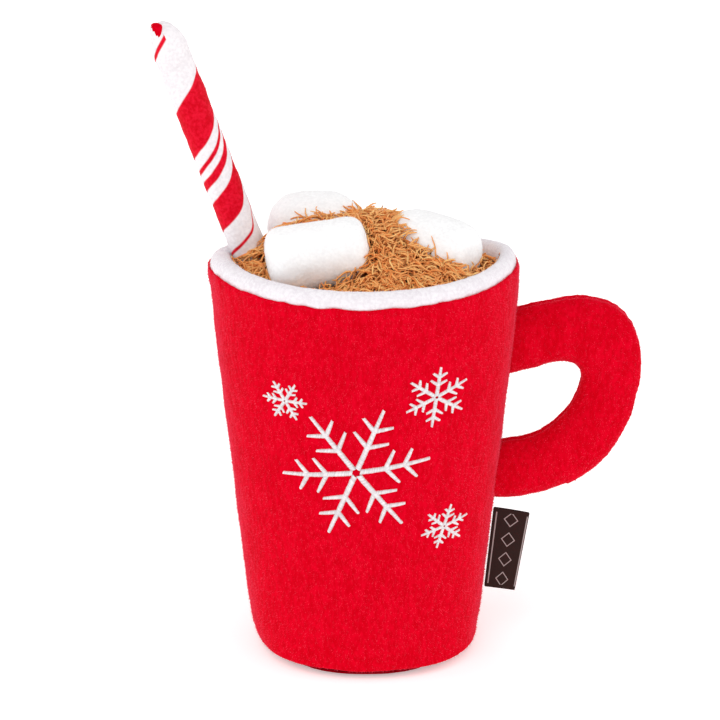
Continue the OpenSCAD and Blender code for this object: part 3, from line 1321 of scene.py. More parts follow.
@dataclass
class Handle:
    """Stuffed red loop, sewn from two panels along its outer and inner edges."""

    padding: Padding = Padding(voxel=2.6, inset=0.8, cap=0.7, smoothing=4)
    swells_mm: tuple[float, float] = (8.0, 0.5)
    fuzz_mm: tuple[float, float] = (1.9, 0.2)
    seam_depth: float = 1.0 * MM
    seam_half_w: float = 1.2 * MM
    flank_depth: float = 0.12 * MM
    flank_half_w: float = 3.84 * MM
    flat_from: float = 0.9
    stitch_pitch: float = 3.6 * MM
    plump: float = 1.1 * MM
    plump_far: float = 1.5 * MM
    root_reach: float = 9.0 * MM
    root_depth: float = 5.5 * MM

    def build(self, finishes: Finishes) -> Object:
        """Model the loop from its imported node.

        Args:
            finishes: the toy's materials.

        Returns:
            The finished loop.
        """
        loop = copied_node("handle", "handle_plush")
        self.padding.fill(loop)
        self.sew(loop)
        self.root(loop)
        roughened(loop, *self.swells_mm)
        roughened(loop, *self.fuzz_mm)
        dressed(loop, finishes.red, Slot.RED, "handle")
        return loop

    def sew(self, loop: Object) -> None:
        """Plump the loop up and press its edge seams in, with small puckers along them.

        Args:
            loop: the filled loop, changed in place.
        """
        low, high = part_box("handle")
        middle = (low + high) / 2
        points = points_of(loop)
        normals = normals_of(loop)
        angle = np.arctan2(points[:, 2] - middle.z, points[:, 0] - middle.x)
        around = angle * (high.z - low.z) / 2
        stitch = 0.5 + 0.5 * np.cos(around * 2 * math.pi / self.stitch_pitch)
        seam = self.seam_depth * hump(points[:, 1], self.seam_half_w) * (0.8 + 0.2 * stitch)
        flank = self.flank_depth * hump(points[:, 1], self.flank_half_w) * stitch
        press = (seam + flank) * (np.abs(normals[:, 1]) < self.flat_from)
        edgeways = 1 - normals[:, 1] ** 2
        far = np.clip(normals[:, 0], 0, 1) * (points[:, 0] > middle.x)
        out = (self.plump + self.plump_far * far) * edgeways - press
        move_points(loop, points + normals * out[:, None])

    def root(self, loop: Object) -> None:
        """Draw the two ends of the loop into the wall that they are sewn to.

        Args:
            loop: the sewn loop, changed in place.
        """
        tree = surface_of([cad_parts["mug_body"]])
        points = points_of(loop)
        for i, point in enumerate(points):
            near, _, _, gap = tree.find_nearest(Vector(point), self.root_reach)
            if near is not None:
                inward = unit(-points[i] * [1, 1, 0])
                points[i] += inward * self.root_depth * (1 - gap / self.root_reach)
        move_points(loop, points)


# ---------------------------------------------------------------- shaggy cocoa


@dataclass(frozen=True)
class Heap:
    """Height of the heap of yarn over the mouth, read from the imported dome.

    The last five fields say how far the yarn lies below the dome, or how far it stands over it
    in the ridge between the front pillow and the back one.
    """

    grid: Array
    half: float
    front: tuple[Vector, Vector]
    right: tuple[Vector, Vector]
    everywhere_low: float = 1.6 * MM
    before_low: float = 4.6 * MM
    behind_low: float = 2.0 * MM
    back_low: float = 3.0 * MM
    ridge_high: float = 5.0 * MM

    @classmethod
    def from_frame(cls, mouth: Mouth, steps: int = 61) -> "Heap":
        """Sample the dome from above and carry its height over what lies in it.

        Args:
            mouth: the sewn mouth.
            steps: samples along each side of the grid.

        Returns:
            The heap, pressed down before the front pillow and behind the right one.
        """
        dome = surface_of([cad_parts["cocoa"]])
        laid = [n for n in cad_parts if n.startswith(("marshmallow", "peppermint"))]
        cover = surface_of([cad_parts[n] for n in laid])
        half = mouth.seam_r
        line = np.linspace(-half, half, steps)
        grid = np.full((steps, steps), np.nan)
        for i, x in enumerate(line):
            for j, y in enumerate(line):
                above = Vector((x, y, mouth.top + HIGH_ABOVE))
                hit, _, _, distance = dome.ray_cast(above, DOWN)
                lid = cover.ray_cast(above, DOWN)[3]
                if math.hypot(x, y) > mouth.seam_r - mouth.bead_w:
                    grid[i, j] = mouth.seam_z(math.atan2(y, x))
                elif hit is not None and (lid is None or lid > distance):
                    grid[i, j] = hit.z
        while np.isnan(grid).any():
            wide = np.pad(grid, 1, constant_values=np.nan)
            around = np.stack([wide[:-2, 1:-1], wide[2:, 1:-1], wide[1:-1, :-2], wide[1:-1, 2:]])
            known = (~np.isnan(around)).sum(0)
            mean = np.nansum(around, axis=0) / np.maximum(known, 1)
            grid = np.where(np.isnan(grid) & (known > 0), mean, grid)
        return cls(grid, half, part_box("marshmallow_front"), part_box("marshmallow_right"))

    def height(self, x: Array, y: Array) -> Array:
        """Return the heap's height at places over the mouth.

        Args:
            x: how far to the right each place lies.
            y: how far back it lies.

        Returns:
            One height for each place.
        """
        last = len(self.grid) - 1
        u = np.clip((x / self.half + 1) / 2 * last, 0, last - 0.001)
        v = np.clip((y / self.half + 1) / 2 * last, 0, last - 0.001)
        i, j = u.astype(int), v.astype(int)
        a, b = u - i, v - j
        low = self.grid[i, j] * (1 - b) + self.grid[i, j + 1] * b
        high = self.grid[i + 1, j] * (1 - b) + self.grid[i + 1, j + 1] * b
        return low * (1 - a) + high * a - self.pressed(x, y)

    def pressed(self, x: Array, y: Array) -> Array:
        """Return how far the yarn lies below the dome: more round the pillows, less between two.

        Args:
            x: how far to the right each place lies.
            y: how far back it lies.

        Returns:
            One depth for each place.
        """
        front_low, front_high = self.front
        right_low, right_high = self.right
        line = (right_low.y + right_high.y) / 2
        before = ramp(-y, -front_low.y - 6 * MM, 6 * MM) * ramp(-x, 5 * MM - front_high.x, 9 * MM)
        behind = ramp(y, line, 12 * MM) * ramp(x, right_low.x, 10 * MM)
        back = ramp(y, -7 * MM, 14 * MM) * ramp(x, -20 * MM, 10 * MM)
        ridge = hump(y, 6 * MM) * ramp(x, -38 * MM, 8 * MM) * ramp(-x, 5 * MM, 16 * MM)
        low = self.everywhere_low + self.before_low * before + self.behind_low * behind
        return low + self.back_low * back - self.ridge_high * ridge


@dataclass
class Cocoa:
    """Domed panel of curly brown yarn round the marshmallows.

    Fields that end in _mm, and wave, sway, rise and bend, draw the strands: a pair of numbers
    is a range, or a mean with its spread.
    """

    count: int = 7200
    tufts: int = 560
    per_piece: int = 2600
    joints: int = 8
    sides: int = 3
    length_mm: tuple[float, float] = (6.0, 11.0)
    width_mm: tuple[float, float] = (0.55, 0.95)
    spread_mm: float = 0.9
    rise: tuple[float, float] = (1.0, 2.2)
    tuft_sway: float = 0.9
    sway: float = 0.3
    outward: float = 0.2
    bend: tuple[float, float] = (1.5, 0.7)
    least_bend: float = 0.15
    beats: tuple[float, float] = (1.0, 2.6)
    wave_mm: float = 0.5
    taper: float = 0.45
    sunk: float = 2.6 * MM
    sunk_share: tuple[float, float] = (0.6, 1.2)
    loose: float = 1.4 * MM
    looser: float = 0.9 * MM
    over_rim: float = 0.3 * MM
    lift: float = 1.5 * MM
    below_crest: float = 0.5 * MM
    clear: float = 0.4 * MM
    pillow_reach: float = 7.0 * MM
    shifted: float = 1.5 * MM
    over_pillows: float = 0.2
    over_back: float = 0.6
    backing_voxel: float = 1.5 * MM
    backing_gap: float = 0.3 * MM
    edge_gap: float = 0.5 * MM
    open_gap: float = 1.0 * MM
    back_gap: float = 3.0 * MM
    backing_swells_mm: tuple[float, float] = (3.0, 1.0)
    seed: int = 11

    def build(self, finishes: Finishes, mouth: Mouth, stuffed: Sequence[Object]) -> list[Object]:
        """Model the backing, whose dark brown is painted shade, and the yarn on it.

        Args:
            finishes: the toy's materials.
            mouth: the sewn mouth.
            stuffed: the finished pieces that the yarn lies against.

        Returns:
            The backing and the pieces of yarn.
        """
        rng = np.random.default_rng(self.seed)
        heap = Heap.from_frame(mouth)
        made = [self.backing(finishes, mouth, heap)]
        tree = surface_of(stuffed)
        roots, tuft_of = self.roots(rng, mouth, heap, tree)
        paths, radii = self.strands(rng, roots, tuft_of, mouth, heap)
        flat = paths.reshape(-1, 3)
        free = pushed_out(flat, tree, self.clear, self.pillow_reach).reshape(paths.shape)
        moved = np.linalg.norm(free - paths, axis=2).max(1)
        at_back = (roots[:, 0] < 0) & (roots[:, 1] > heap.front[1].y - self.back_gap)
        chance = np.where(at_back, self.over_back, self.over_pillows)
        kept = (moved < self.shifted) | (rng.random(self.count) < chance)
        paths, radii = free[kept], radii[kept]
        tone = rng.beta(1.4, 1.4, len(paths))
        for number, first in enumerate(range(0, len(paths), self.per_piece), 1):
            part = slice(first, first + self.per_piece)
            name = f"cocoa_yarn_{number}"
            made.append(self.yarn(finishes, name, paths[part], radii[part], tone[part]))
        return made

    def backing(self, finishes: Finishes, mouth: Mouth, heap: Heap) -> Object:
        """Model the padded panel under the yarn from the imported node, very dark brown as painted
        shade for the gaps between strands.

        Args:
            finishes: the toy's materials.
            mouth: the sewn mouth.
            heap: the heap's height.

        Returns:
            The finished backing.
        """
        backing = copied_node("cocoa", "cocoa_backing_painted_shade")
        worked(backing, "REMESH", mode="VOXEL", voxel_size=self.backing_voxel)
        worked(backing, "SMOOTH", factor=0.5, iterations=4)
        points = points_of(backing)
        radius = np.hypot(points[:, 0], points[:, 1])
        highest = heap.height(points[:, 0], points[:, 1]) - self.sunk * 0.7
        points[:, 2] = np.minimum(points[:, 2], highest)
        inside = (mouth.seam_r - mouth.bead_w - self.backing_gap) / np.maximum(radius, 1e-6)
        points[:, :2] *= np.minimum(1, inside)[:, None]
        move_points(backing, points)
        roughened(backing, *self.backing_swells_mm)
        dressed(backing, finishes.backing, Slot.SHAG, "cocoa")
        return backing

    def roots(
        self, rng: np.random.Generator, mouth: Mouth, heap: Heap, tree: BVHTree
    ) -> tuple[Array, Array]:
        """Find places on the open part of the heap, in tufts.

        Args:
            rng: source of random numbers.
            mouth: the sewn mouth.
            heap: the heap's height.
            tree: search tree of what lies in the heap.

        Returns:
            The roots, one row for each strand, and the number of each one's tuft.
        """
        edge = mouth.seam_r - mouth.bead_w - self.edge_gap
        tries = self.tufts * 4
        radius, turn = edge * np.sqrt(rng.random(tries)), rng.random(tries) * 2 * math.pi
        x, y = radius * np.cos(turn), radius * np.sin(turn)
        spots = np.stack([x, y, heap.height(x, y)], 1)
        above = mouth.top + HIGH_ABOVE
        lids = [tree.ray_cast(Vector((a, b, above)), DOWN)[0] for a, b in spots[:, :2]]
        highest = spots[:, 2] - self.open_gap
        open_air = [lid is None or lid.z < z for lid, z in zip(lids, highest)]
        spots = spots[open_air][: self.tufts]
        pick = np.sort(rng.integers(0, len(spots), self.count))
        roots = spots[pick] + rng.normal(0, self.spread_mm * MM, (self.count, 3)) * [1, 1, 0]
        roots[:, 2] -= self.sunk * rng.uniform(*self.sunk_share, self.count)
        return roots, pick

    def strands(
        self, rng: np.random.Generator, roots: Array, tuft_of: Array, mouth: Mouth, heap: Heap
    ) -> tuple[Array, Array]:
        """Grow a bent strand from each root.

        Args:
            rng: source of random numbers.
            roots: where the strands start.
            tuft_of: the number of each strand's tuft.
            mouth: the sewn mouth.
            heap: the heap's height.

        Returns:
            The strands' points, one block of rows each, and their radii.
        """
        n = self.count
        outward = unit(roots * [1, 1, 0]) * self.outward
        tuft_lean = rng.normal(0, 1.0, (self.tufts, 3))[tuft_of] * self.tuft_sway
        lean = (tuft_lean + rng.normal(0, self.sway, (n, 3)) + outward) * [1, 1, 0]
        upright = np.zeros((n, 3))
        upright[:, 2] = rng.uniform(*self.rise, n)
        start = unit(upright + lean)
        axis = unit(np.cross(start, lean + rng.normal(0, 0.5, (n, 3)) + [0, 0, 1e-3]))
        side = np.cross(axis, start)
        length = rng.uniform(*self.length_mm, n) * MM
        bend = rng.normal(*self.bend, n)
        bend = np.where(np.abs(bend) < self.least_bend, self.least_bend, bend)
        share = np.linspace(0, 1, self.joints)
        turn = bend[:, None] * share
        scale = (length / bend)[:, None]
        ahead = (scale * np.sin(turn))[:, :, None] * start[:, None, :]
        aside = (scale * (1 - np.cos(turn)))[:, :, None] * side[:, None, :]
        beats = rng.uniform(*self.beats, n)[:, None]
        height = rng.normal(0, self.wave_mm * MM, n)[:, None]
        wave = height * np.sin(share * math.pi * beats)
        paths = roots[:, None, :] + ahead + aside + wave[:, :, None] * axis[:, None, :]
        paths = self.kept_in(rng, paths, mouth, heap)
        width = rng.uniform(*self.width_mm, n) * MM / 2
        taper = 1 - self.taper * np.clip(share * 2 - 1, 0, 1) ** 1.6
        return paths, width[:, None] * taper

    def kept_in(self, rng: np.random.Generator, paths: Array, mouth: Mouth, heap: Heap) -> Array:
        """Hold strands near the heap's surface and turn them up inside the rim.

        Args:
            rng: source of random numbers.
            paths: the strands' points.
            mouth: the sewn mouth.
            heap: the heap's height.

        Returns:
            The moved points.
        """
        loose = (self.loose + rng.exponential(self.looser, len(paths)))[:, None]
        surface = heap.height(paths[..., 0], paths[..., 1])
        over = np.maximum(0, paths[..., 2] - surface - loose)
        under = np.maximum(0, surface - self.sunk * 1.3 - paths[..., 2])
        paths[..., 2] += under - over * 0.7
        radius = np.hypot(paths[..., 0], paths[..., 1])
        beyond = np.maximum(0, radius - (mouth.seam_r - mouth.bead_w + self.over_rim))
        scale = (radius - beyond * 0.9) / np.maximum(radius, 1e-6)
        paths = paths * np.stack([scale, scale, np.ones_like(scale)], -1)
        angle = np.arctan2(paths[..., 1], paths[..., 0])
        crest = mouth.seam_z(angle) + mouth.bead_h - self.below_crest
        lift = np.clip(crest - paths[..., 2], 0, self.lift)
        paths[..., 2] += np.where(beyond > 0, lift, 0)
        return paths

    def yarn(
        self, finishes: Finishes, name: str, paths: Array, radii: Array, tone: Array
    ) -> Object:
        """Wrap a tapered tube round each strand and join them in one piece.

        Args:
            finishes: the toy's materials.
            name: the piece's name.
            paths: the strands' points.
            radii: their radii.
            tone: one shade from 0 to 1 for each strand.

        Returns:
            The finished piece.
        """
        n, k = len(paths), self.joints
        ahead = unit(np.gradient(paths, axis=1))
        level = np.where(np.abs(ahead[..., 2:]) < 0.9, [0.0, 0.0, 1.0], [1.0, 0.0, 0.0])
        first = unit(np.cross(ahead, level))
        ring = ring_round(first, np.cross(ahead, first), self.sides)
        points = paths[:, :, None, :] + ring * radii[:, :, None, None]
        tips = paths[:, -1] + ahead[:, -1] * radii[:, -1:] * 1.5
        points = np.concatenate([points.reshape(n, -1, 3), paths[:, :1], tips[:, None]], axis=1)
        piece = joined_mesh(name, points, tube_faces(n, k, self.sides))
        share = np.concatenate([np.repeat(np.linspace(0, 1, k), self.sides), [0.0, 1.0]])
        mark_points(piece, "along", np.tile(share, n))
        mark_points(piece, "tone", np.repeat(tone, points.shape[1]))
        return dressed(piece, finishes.yarn, Slot.SHAG)


# ---------------------------------------------------------------- nap


@dataclass(frozen=True)
class Nap:
    """Short hairs that stand on stuffed pieces, as one mesh of thin closed spikes."""

    name: str
    slot: Slot
    per_cm2: float
    length_mm: float
    width_mm: float
    seed: int
    droop: float
    stray: float = 0.45
    lengths: tuple[float, float] = (0.6, 1.25)
    sunk: float = 0.15 * MM
    per_piece: int = 48000

    def build(
        self,
        material: Material,
        over: Sequence[Object],
        keep: Callable[[Array], Array] | None = None,
    ) -> list[Object]:
        """Scatter hairs over pieces.

        Args:
            material: the hairs' material.
            over: the pieces that the hairs stand on.
            keep: takes rows of places and says for each whether a hair may stand there.

        Returns:
            The pieces of joined hairs.
        """
        rng = np.random.default_rng(self.seed)
        found = [self.scattered(rng, piece) for piece in over]
        roots = np.concatenate([f[0] for f in found])
        normals = np.concatenate([f[1] for f in found])
        if keep is not None:
            kept = keep(roots)
            roots, normals = roots[kept], normals[kept]
        n = len(roots)
        ahead = unit(normals + rng.normal(0, self.stray, (n, 3)) + [0.0, 0.0, self.droop])
        first = unit(np.cross(ahead, rng.normal(0, 1, (n, 3))))
        second = np.cross(ahead, first)
        length = self.length_mm * MM * rng.uniform(*self.lengths, (n, 1))
        base = roots - normals * self.sunk
        points = np.empty((n, 4, 3))
        points[:, :3] = base[:, None] + ring_round(first, second, 3) * self.width_mm * MM / 2
        points[:, 3] = base + ahead * length
        spike = np.array([[0, 1, 3], [1, 2, 3], [2, 0, 3], [2, 1, 0]])
        made = []
        parts = np.array_split(points, math.ceil(n / self.per_piece))
        for number, part in enumerate(parts, 1):
            faces = spike[None] + (np.arange(len(part)) * 4)[:, None, None]
            piece = joined_mesh(f"{self.name}_{number}", part, faces)
            made.append(dressed(piece, material, self.slot))
        return made

    def scattered(self, rng: np.random.Generator, piece: Object) -> tuple[Array, Array]:
        """Return places spread evenly over a piece's surface.

        Args:
            rng: source of random numbers.
            piece: the mesh object.

        Returns:
            The places and the surface's normals there.
        """
        mesh = piece.data
        mesh.calc_loop_triangles()
        corners = np.empty(len(mesh.loop_triangles) * 3, np.int32)
        mesh.loop_triangles.foreach_get("vertices", corners)
        corners = corners.reshape(-1, 3)
        points, normals = points_of(piece), normals_of(piece)
        a, b, c = (points[corners[:, i]] for i in range(3))
        area = np.linalg.norm(np.cross(b - a, c - a), axis=1) / 2
        count = int(area.sum() * 1e4 * self.per_cm2)
        pick = rng.choice(len(area), count, p=area / area.sum())
        share = rng.random((count, 2))
        share = np.where(share.sum(1, keepdims=True) > 1, 1 - share, share)
        weights = np.stack([1 - share.sum(1), share[:, 0], share[:, 1]], 1)
        place = (points[corners[pick]] * weights[:, :, None]).sum(1)
        normal = unit((normals[corners[pick]] * weights[:, :, None]).sum(1))
        return place, normal


RED_HAIRS = Nap("red_nap_painted_sheen", Slot.RED, 160.0, 0.8, 0.15, 21, -0.35)
WHITE_HAIRS = Nap("white_nap", Slot.WHITE, 150.0, 0.6, 0.14, 22, 0.1)
STRIPED_HAIRS = Nap("striped_nap", Slot.STRIPED, 150.0, 0.5, 0.14, 23, 0.1)


# ---------------------------------------------------------------- embroidery


@dataclass(frozen=True)
class Snowflake:
    """One six-armed star on the front of the mug: place and size in millimetres.

    Each pair of branches is a share of the arm's length at which the two leave the arm, and
    their own length as a share of it.
    """

    across: float
    up: float
    arm: float
    turn: float
    stroke: float

    branches: tuple[tuple[float, float], ...] = ((0.4, 0.3), (0.66, 0.26))
    branch_turn: float = 58.0
    branch_stroke: float = 0.82
    open_middle: float = 0.06

    def strokes(self) -> list[tuple[Array, Array, float]]:
        """Work out the six arms and the branches on them.

        Returns:
            Each stroke's two ends, flat in x and z, and its width.
        """
        made = []
        centre = np.array([self.across, self.up])
        for i in range(6):
            angle = math.radians(self.turn + 60 * i)
            ahead = np.array([math.cos(angle), math.sin(angle)])
            arm = ahead * self.arm
            made.append((centre + arm * self.open_middle, centre + arm, self.stroke))
            for share, reach in self.branches:
                knot = centre + arm * share
                for side in (-1, 1):
                    branch = angle + side * math.radians(self.branch_turn)
                    way = np.array([math.cos(branch), math.sin(branch)])
                    end = knot + way * self.arm * reach
                    made.append((knot, end, self.stroke * self.branch_stroke))
        return made


@dataclass
class Embroidery:
    """White satin-stitch snowflakes sewn through the front of the wall."""

    flakes: tuple[Snowflake, ...] = (
        Snowflake(-3.0, 81.0, 25.0, 8.0, 1.9),
        Snowflake(24.0, 107.0, 11.0, 22.0, 1.3),
        Snowflake(-27.0, 105.0, 7.5, 2.0, 1.1),
        Snowflake(27.0, 57.0, 8.0, 12.0, 1.1),
    )
    pitch: float = 0.3 * MM
    slant: float = 0.35
    rise: float = 0.55 * MM
    thread_r: float = 0.17 * MM
    narrows: float = 0.45
    full_w: float = 2.0 * MM
    end_depth: float = 0.1 * MM
    bends: int = 4
    sides: int = 4
    seed: int = 5

    def middles(self) -> Array:
        """Return points along every stroke, flat in x and z, in metres.

        Returns:
            One row for each point, a millimetre or so apart.
        """
        rows = []
        for flake in self.flakes:
            for start, end, _ in flake.strokes():
                steps = max(2, int(np.linalg.norm(end - start)))
                rows += [start + (end - start) * s for s in np.linspace(0, 1, steps)]
        return np.array(rows) * MM

    def build(self, finishes: Finishes, wall: Object) -> Object:
        """Sew the threads of every stroke onto the wall.

        Args:
            finishes: the toy's materials.
            wall: the finished wall.

        Returns:
            The joined threads.
        """
        rng = np.random.default_rng(self.seed)
        tree = surface_of([wall])
        paths: list[Array] = []
        for flake in self.flakes:
            for start, end, width in flake.strokes():
                paths += self.stroke(rng, tree, start * MM, end * MM, width * MM)
        rows = np.array(paths)
        n, k = rows.shape[:2]
        ahead = unit(np.gradient(rows, axis=1))
        first = unit(np.cross(ahead, [0.0, 1.0, 0.0]))
        ring = ring_round(first, np.cross(ahead, first), self.sides)
        points = (rows[:, :, None, :] + ring * self.thread_r).reshape(n, -1, 3)
        points = np.concatenate([points, rows[:, :1], rows[:, -1:]], axis=1)
        piece = joined_mesh("embroidery", points, tube_faces(n, k, self.sides))
        mark_points(piece, "tone", np.repeat(rng.random(n), points.shape[1]))
        return dressed(piece, finishes.thread, Slot.WHITE)

    def stroke(
        self, rng: np.random.Generator, tree: BVHTree, start: Array, end: Array, width: float
    ) -> list[Array]:
        """Lay the threads of one stroke across it, each an arch over the cloth.

        Args:
            rng: source of random numbers.
            tree: search tree of the wall.
            start: the stroke's first end, flat in x and z.
            end: its other end.
            width: the stroke's full width.

        Returns:
            The threads' points.
        """
        length = float(np.linalg.norm(end - start))
        ahead = (end - start) / length
        side = np.array([-ahead[1], ahead[0]]) + ahead * self.slant
        rise = self.rise * min(1.0, width / self.full_w)
        before = CAD_BOX[0][1] * 2
        made = []
        for i in range(int(length / self.pitch) + 1):
            share = min(1.0, i * self.pitch / length)
            half = width / 2 * (1 - self.narrows * share**2) * rng.uniform(0.92, 1.06)
            middle = start + ahead * length * share
            rows = []
            for s in np.linspace(-1, 1, self.bends + 1):
                flat = middle + side * half * s
                outside = Vector((flat[0], before, flat[1]))
                hit, normal, _, _ = tree.ray_cast(outside, Vector((0, 1, 0)))
                arch = rise * (1 - s * s) - self.end_depth * abs(s) ** 6
                rows.append(hit + normal * arch)
            made.append(np.array(rows))
        return made


# ---------------------------------------------------------------- label


@dataclass
class SideLabel:
    """Folded woven ribbon sewn into the side seam."""

    thick: float = 0.28 * MM
    apart: float = 0.7 * MM
    curl: float = 1.3 * MM
    sag: float = 1.8 * MM
    tucked: float = 1.2 * MM
    end_h: float = 3.0 * MM
    fold_share: float = 0.12
    rows: int = 24
    columns: int = 40

    def build(self, finishes: Finishes) -> Object:
        """Model the ribbon as a bent grid with a thickness.

        Args:
            finishes: the toy's materials.

        Returns:
            The finished label.
        """
        low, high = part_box("side_label")
        packed = points_of(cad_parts["side_label"])
        bottom = packed[packed[:, 2] < low.z + self.end_h][:, 0]
        top = packed[packed[:, 2] > high.z - self.end_h][:, 0]
        reach_low, reach_high = bottom.max() - bottom.min(), high.x - top.min()
        height = high.z - low.z
        deselect()
        bpy.ops.mesh.primitive_grid_add(
            x_subdivisions=self.columns, y_subdivisions=self.rows, size=1.0
        )
        label = bpy.context.object
        label.name = label.data.name = "side_label_ribbon"
        points = points_of(label)
        across, up = points[:, 0] + 0.5, points[:, 1] + 0.5
        self.map_ribbon(label, across, up)
        out, side = self.folded((across - 0.5) * 2)
        root = bottom.min() + (top.min() - bottom.min()) * up
        reach = reach_low + (reach_high - reach_low) * up
        x = root - self.tucked + (reach + self.tucked) * out
        bend = self.curl * out**2 * (0.4 + 0.6 * up)
        y = (low.y + high.y) / 2 + side * self.apart / 2 - bend
        z = low.z + height * up - self.sag * out * (0.75 + 0.25 * up)
        move_points(label, np.stack([x, y, z], 1))
        worked(label, "SOLIDIFY", thickness=self.thick, offset=0)
        worked(label, "SUBSURF", levels=1, render_levels=1)
        dressed(label, finishes.ribbon, Slot.LABEL, "side_label")
        return label

    def folded(self, turn: Array) -> tuple[Array, Array]:
        """Lay the ribbon round its fold.

        Args:
            turn: places across the flat ribbon, from -1 at one end to 1 at the other.

        Returns:
            How far each place stands out of the seam, as a share, and which face it is on.
        """
        from_fold = np.abs(turn)
        inside = from_fold / self.fold_share
        round_fold = 1 - self.fold_share / 4 * inside**2
        straight = 1 + self.fold_share / 2 - from_fold
        out = np.where(inside < 1, round_fold, straight)
        return out, np.sign(turn) * np.minimum(1, inside) ** 0.6

    @staticmethod
    def map_ribbon(label: Object, across: Array, up: Array) -> None:
        """Give the ribbon a UV map in which each face of the fold runs from 0 to 1.

        Args:
            label: the flat grid.
            across: each vertex's place across the flat ribbon.
            up: each vertex's place along the seam.
        """
        layer = label.data.uv_layers.new(name="ribbon")
        numbers = np.empty(len(label.data.loops), np.int32)
        label.data.loops.foreach_get("vertex_index", numbers)
        fold = 1 - np.abs(across[numbers] - 0.5) * 2
        layer.data.foreach_set("uv", np.stack([fold, up[numbers]], 1).astype(np.float32).ravel())
        for other in [u for u in label.data.uv_layers if u.name != "ribbon"]:
            label.data.uv_layers.remove(other)


# ---------------------------------------------------------------- studio


@dataclass(frozen=True)
class Sun:
    """One wide soft lamp: direction it shines from, strength and angular size."""

    name: str
    azimuth: float
    elevation: float
    strength: float
    spread: float

    def hang(self) -> None:
        """Add the lamp to the scene."""
        deselect()
        a, e = math.radians(self.azimuth), math.radians(self.elevation)
        towards = Vector((math.sin(a) * math.cos(e), -math.cos(a) * math.cos(e), math.sin(e)))
        turn = towards.to_track_quat("Z", "Y").to_euler()
        bpy.ops.object.light_add(type="SUN", location=towards, rotation=turn)
        lamp = bpy.context.object
        lamp.name = self.name
        lamp.data.energy = self.strength
        lamp.data.angle = math.radians(self.spread)


@dataclass(frozen=True)
class Studio:
    """Pale floor, even light and the camera."""

    floor_r: float = 6.0
    sky: float = 0.66
    glow: float = 0.35
    suns: tuple[Sun, ...] = (
        Sun("key_lamp", -25.0, 40.0, 0.72, 50.0),
        Sun("fill_lamp", 45.0, 28.0, 0.34, 70.0),
        Sun("left_lamp", -92.0, 22.0, 0.55, 40.0),
        Sun("right_lamp", 92.0, 22.0, 0.55, 40.0),
        Sun("back_lamp", 180.0, 50.0, 0.12, 60.0),
    )
    camera_at: tuple[float, float, float] = (0.0, -1.3048, 0.5736)
    looks_at: tuple[float, float, float] = (-0.0018, 0.0130, 0.0997)
    lens: float = 199.7
    sensor: float = 36.0

    def build(self) -> None:
        """Set the floor, the sky, the lamps and the camera."""
        self.lay_floor()
        world = bpy.data.worlds.new("studio_sky")
        bpy.context.scene.world = world
        world.use_nodes = True
        set_inputs(world.node_tree.nodes["Background"], {"Color": (1, 1, 1, 1), "Strength": self.sky})
        for sun in self.suns:
            sun.hang()
        deselect()
        towards = Vector(self.looks_at) - Vector(self.camera_at)
        turn = towards.to_track_quat("-Z", "Y").to_euler()
        bpy.ops.object.camera_add(location=self.camera_at, rotation=turn)
        camera = bpy.context.object
        camera.name = "studio_camera"
        camera.data.lens = self.lens
        camera.data.sensor_width = self.sensor
        camera.data.clip_start, camera.data.clip_end = 0.05, 30.0
        bpy.context.scene.camera = camera
        bpy.context.scene.view_settings.view_transform = "Standard"

    def lay_floor(self) -> None:
        """Add the round floor that the toy stands on."""
        deselect()
        bpy.ops.mesh.primitive_circle_add(vertices=96, radius=self.floor_r, fill_type="NGON")
        floor = bpy.context.object
        floor.name = floor.data.name = "studio_floor"
        material, _, shader = new_material("studio_white")
        set_inputs(
            shader,
            {
                "Base Color": (0.96, 0.96, 0.96, 1),
                "Roughness": 1.0,
                "Specular IOR Level": 0.0,
                "Emission Color": (1, 1, 1, 1),
                "Emission Strength": self.glow,
            },
        )
        floor.data.materials.append(material)


# ---------------------------------------------------------------- the toy


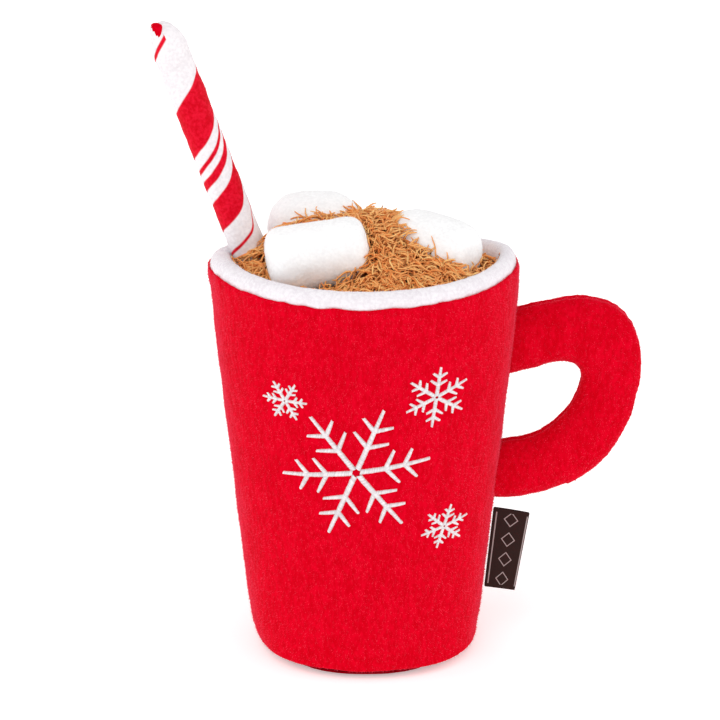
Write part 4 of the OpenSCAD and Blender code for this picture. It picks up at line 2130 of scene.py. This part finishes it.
@dataclass
class PlushMug:
    """The whole toy, built in order from the base to the nap."""

    finishes: Finishes = field(default_factory=Finishes)
    mouth: Mouth = field(default_factory=Mouth.from_frame)
    stick_axle: Axle = field(default_factory=lambda: Axle.through("peppermint_stick"))
    pillows: tuple[Marshmallow, ...] = (
        Marshmallow("marshmallow_front", narrowing=-0.1, longer=0.4, raised=0.0, blunt=0.35),
        Marshmallow("marshmallow_back", narrowing=0.3, longer=0.0, raised=0.0, blunt=0.0),
        Marshmallow("marshmallow_right", narrowing=0.14, longer=2.1, raised=1.6, blunt=0.1),
    )
    nap_from_r: float = 36.0 * MM
    nap_from_z: float = 1.5 * MM
    nap_past_seam: float = 3.0 * MM
    nap_off_thread: float = 1.7 * MM
    white_nap_down: float = 9.0 * MM

    def build(self) -> None:
        """Build every piece and report it."""
        finishes, mouth = self.finishes, self.mouth
        wall = self.report(MugWall().build(finishes, mouth))
        self.report(BasePanel().build(finishes))
        rim = self.report(Rim().build(finishes, mouth, self.stick_axle))
        pillows = [self.report(pillow.build(finishes)) for pillow in self.pillows]
        maker = PeppermintStick(self.stick_axle)
        stick = self.report(maker.build(finishes))
        self.report(maker.knot(finishes))
        handle = self.report(Handle().build(finishes))
        for piece in Cocoa().build(finishes, mouth, [*pillows, stick]):
            self.report(piece)
        self.report(SideLabel().build(finishes))
        sewn = Embroidery()
        self.report(sewn.build(finishes, wall))
        threads = sewn.middles()
        # The red hairs carry a painted sheen in their lighter, pinker colour.
        hairs = RED_HAIRS.build(
            finishes.red_nap_painted_sheen, [wall, handle], lambda rows: self.bare_wall(rows, threads)
        )
        hairs += WHITE_HAIRS.build(finishes.white_nap, [rim, *pillows], self.upper_side)
        hairs += STRIPED_HAIRS.build(finishes.striped, [stick])
        for piece in hairs:
            self.report(piece)

    def bare_wall(self, rows: Array, threads: Array) -> Array:
        """Leave the pocket, the underside and the embroidery without hairs.

        Args:
            rows: one row for each place on the wall or the handle.
            threads: points along the embroidery's strokes, flat in x and z.

        Returns:
            Whether a hair may stand at each place.
        """
        radius = np.hypot(rows[:, 0], rows[:, 1])
        angle = np.arctan2(rows[:, 1], rows[:, 0])
        below = rows[:, 2] < self.mouth.seam_z(angle) + self.nap_past_seam
        shown = (radius > self.nap_from_r) & below & (rows[:, 2] > self.nap_from_z)
        flat = rows[:, [0, 2]]
        nearest = np.full(len(rows), np.inf)
        for first in range(0, len(threads), 64):
            gap = np.linalg.norm(flat[:, None] - threads[None, first:first + 64], axis=2)
            nearest = np.minimum(nearest, gap.min(1))
        return shown & ((nearest > self.nap_off_thread) | (rows[:, 1] > 0))

    def upper_side(self, rows: Array) -> Array:
        """Say which places on the rim and the pillows are high enough to show."""
        return rows[:, 2] > self.mouth.top - self.white_nap_down

    @staticmethod
    def report(piece: Object) -> Object:
        """Log a finished piece with its number of faces and return it."""
        log.info("%s: %d faces", piece.name, len(piece.data.polygons))
        return piece


def main() -> None:
    """Build the studio and the toy."""
    logging.basicConfig(level=logging.INFO, format="%(relativeCreated)7.0f ms  %(message)s")
    bpy.context.scene.frame_start, bpy.context.scene.frame_end = 1, Padding.frames
    Studio().build()
    PlushMug().build()


if __name__ == "__main__":
    main()
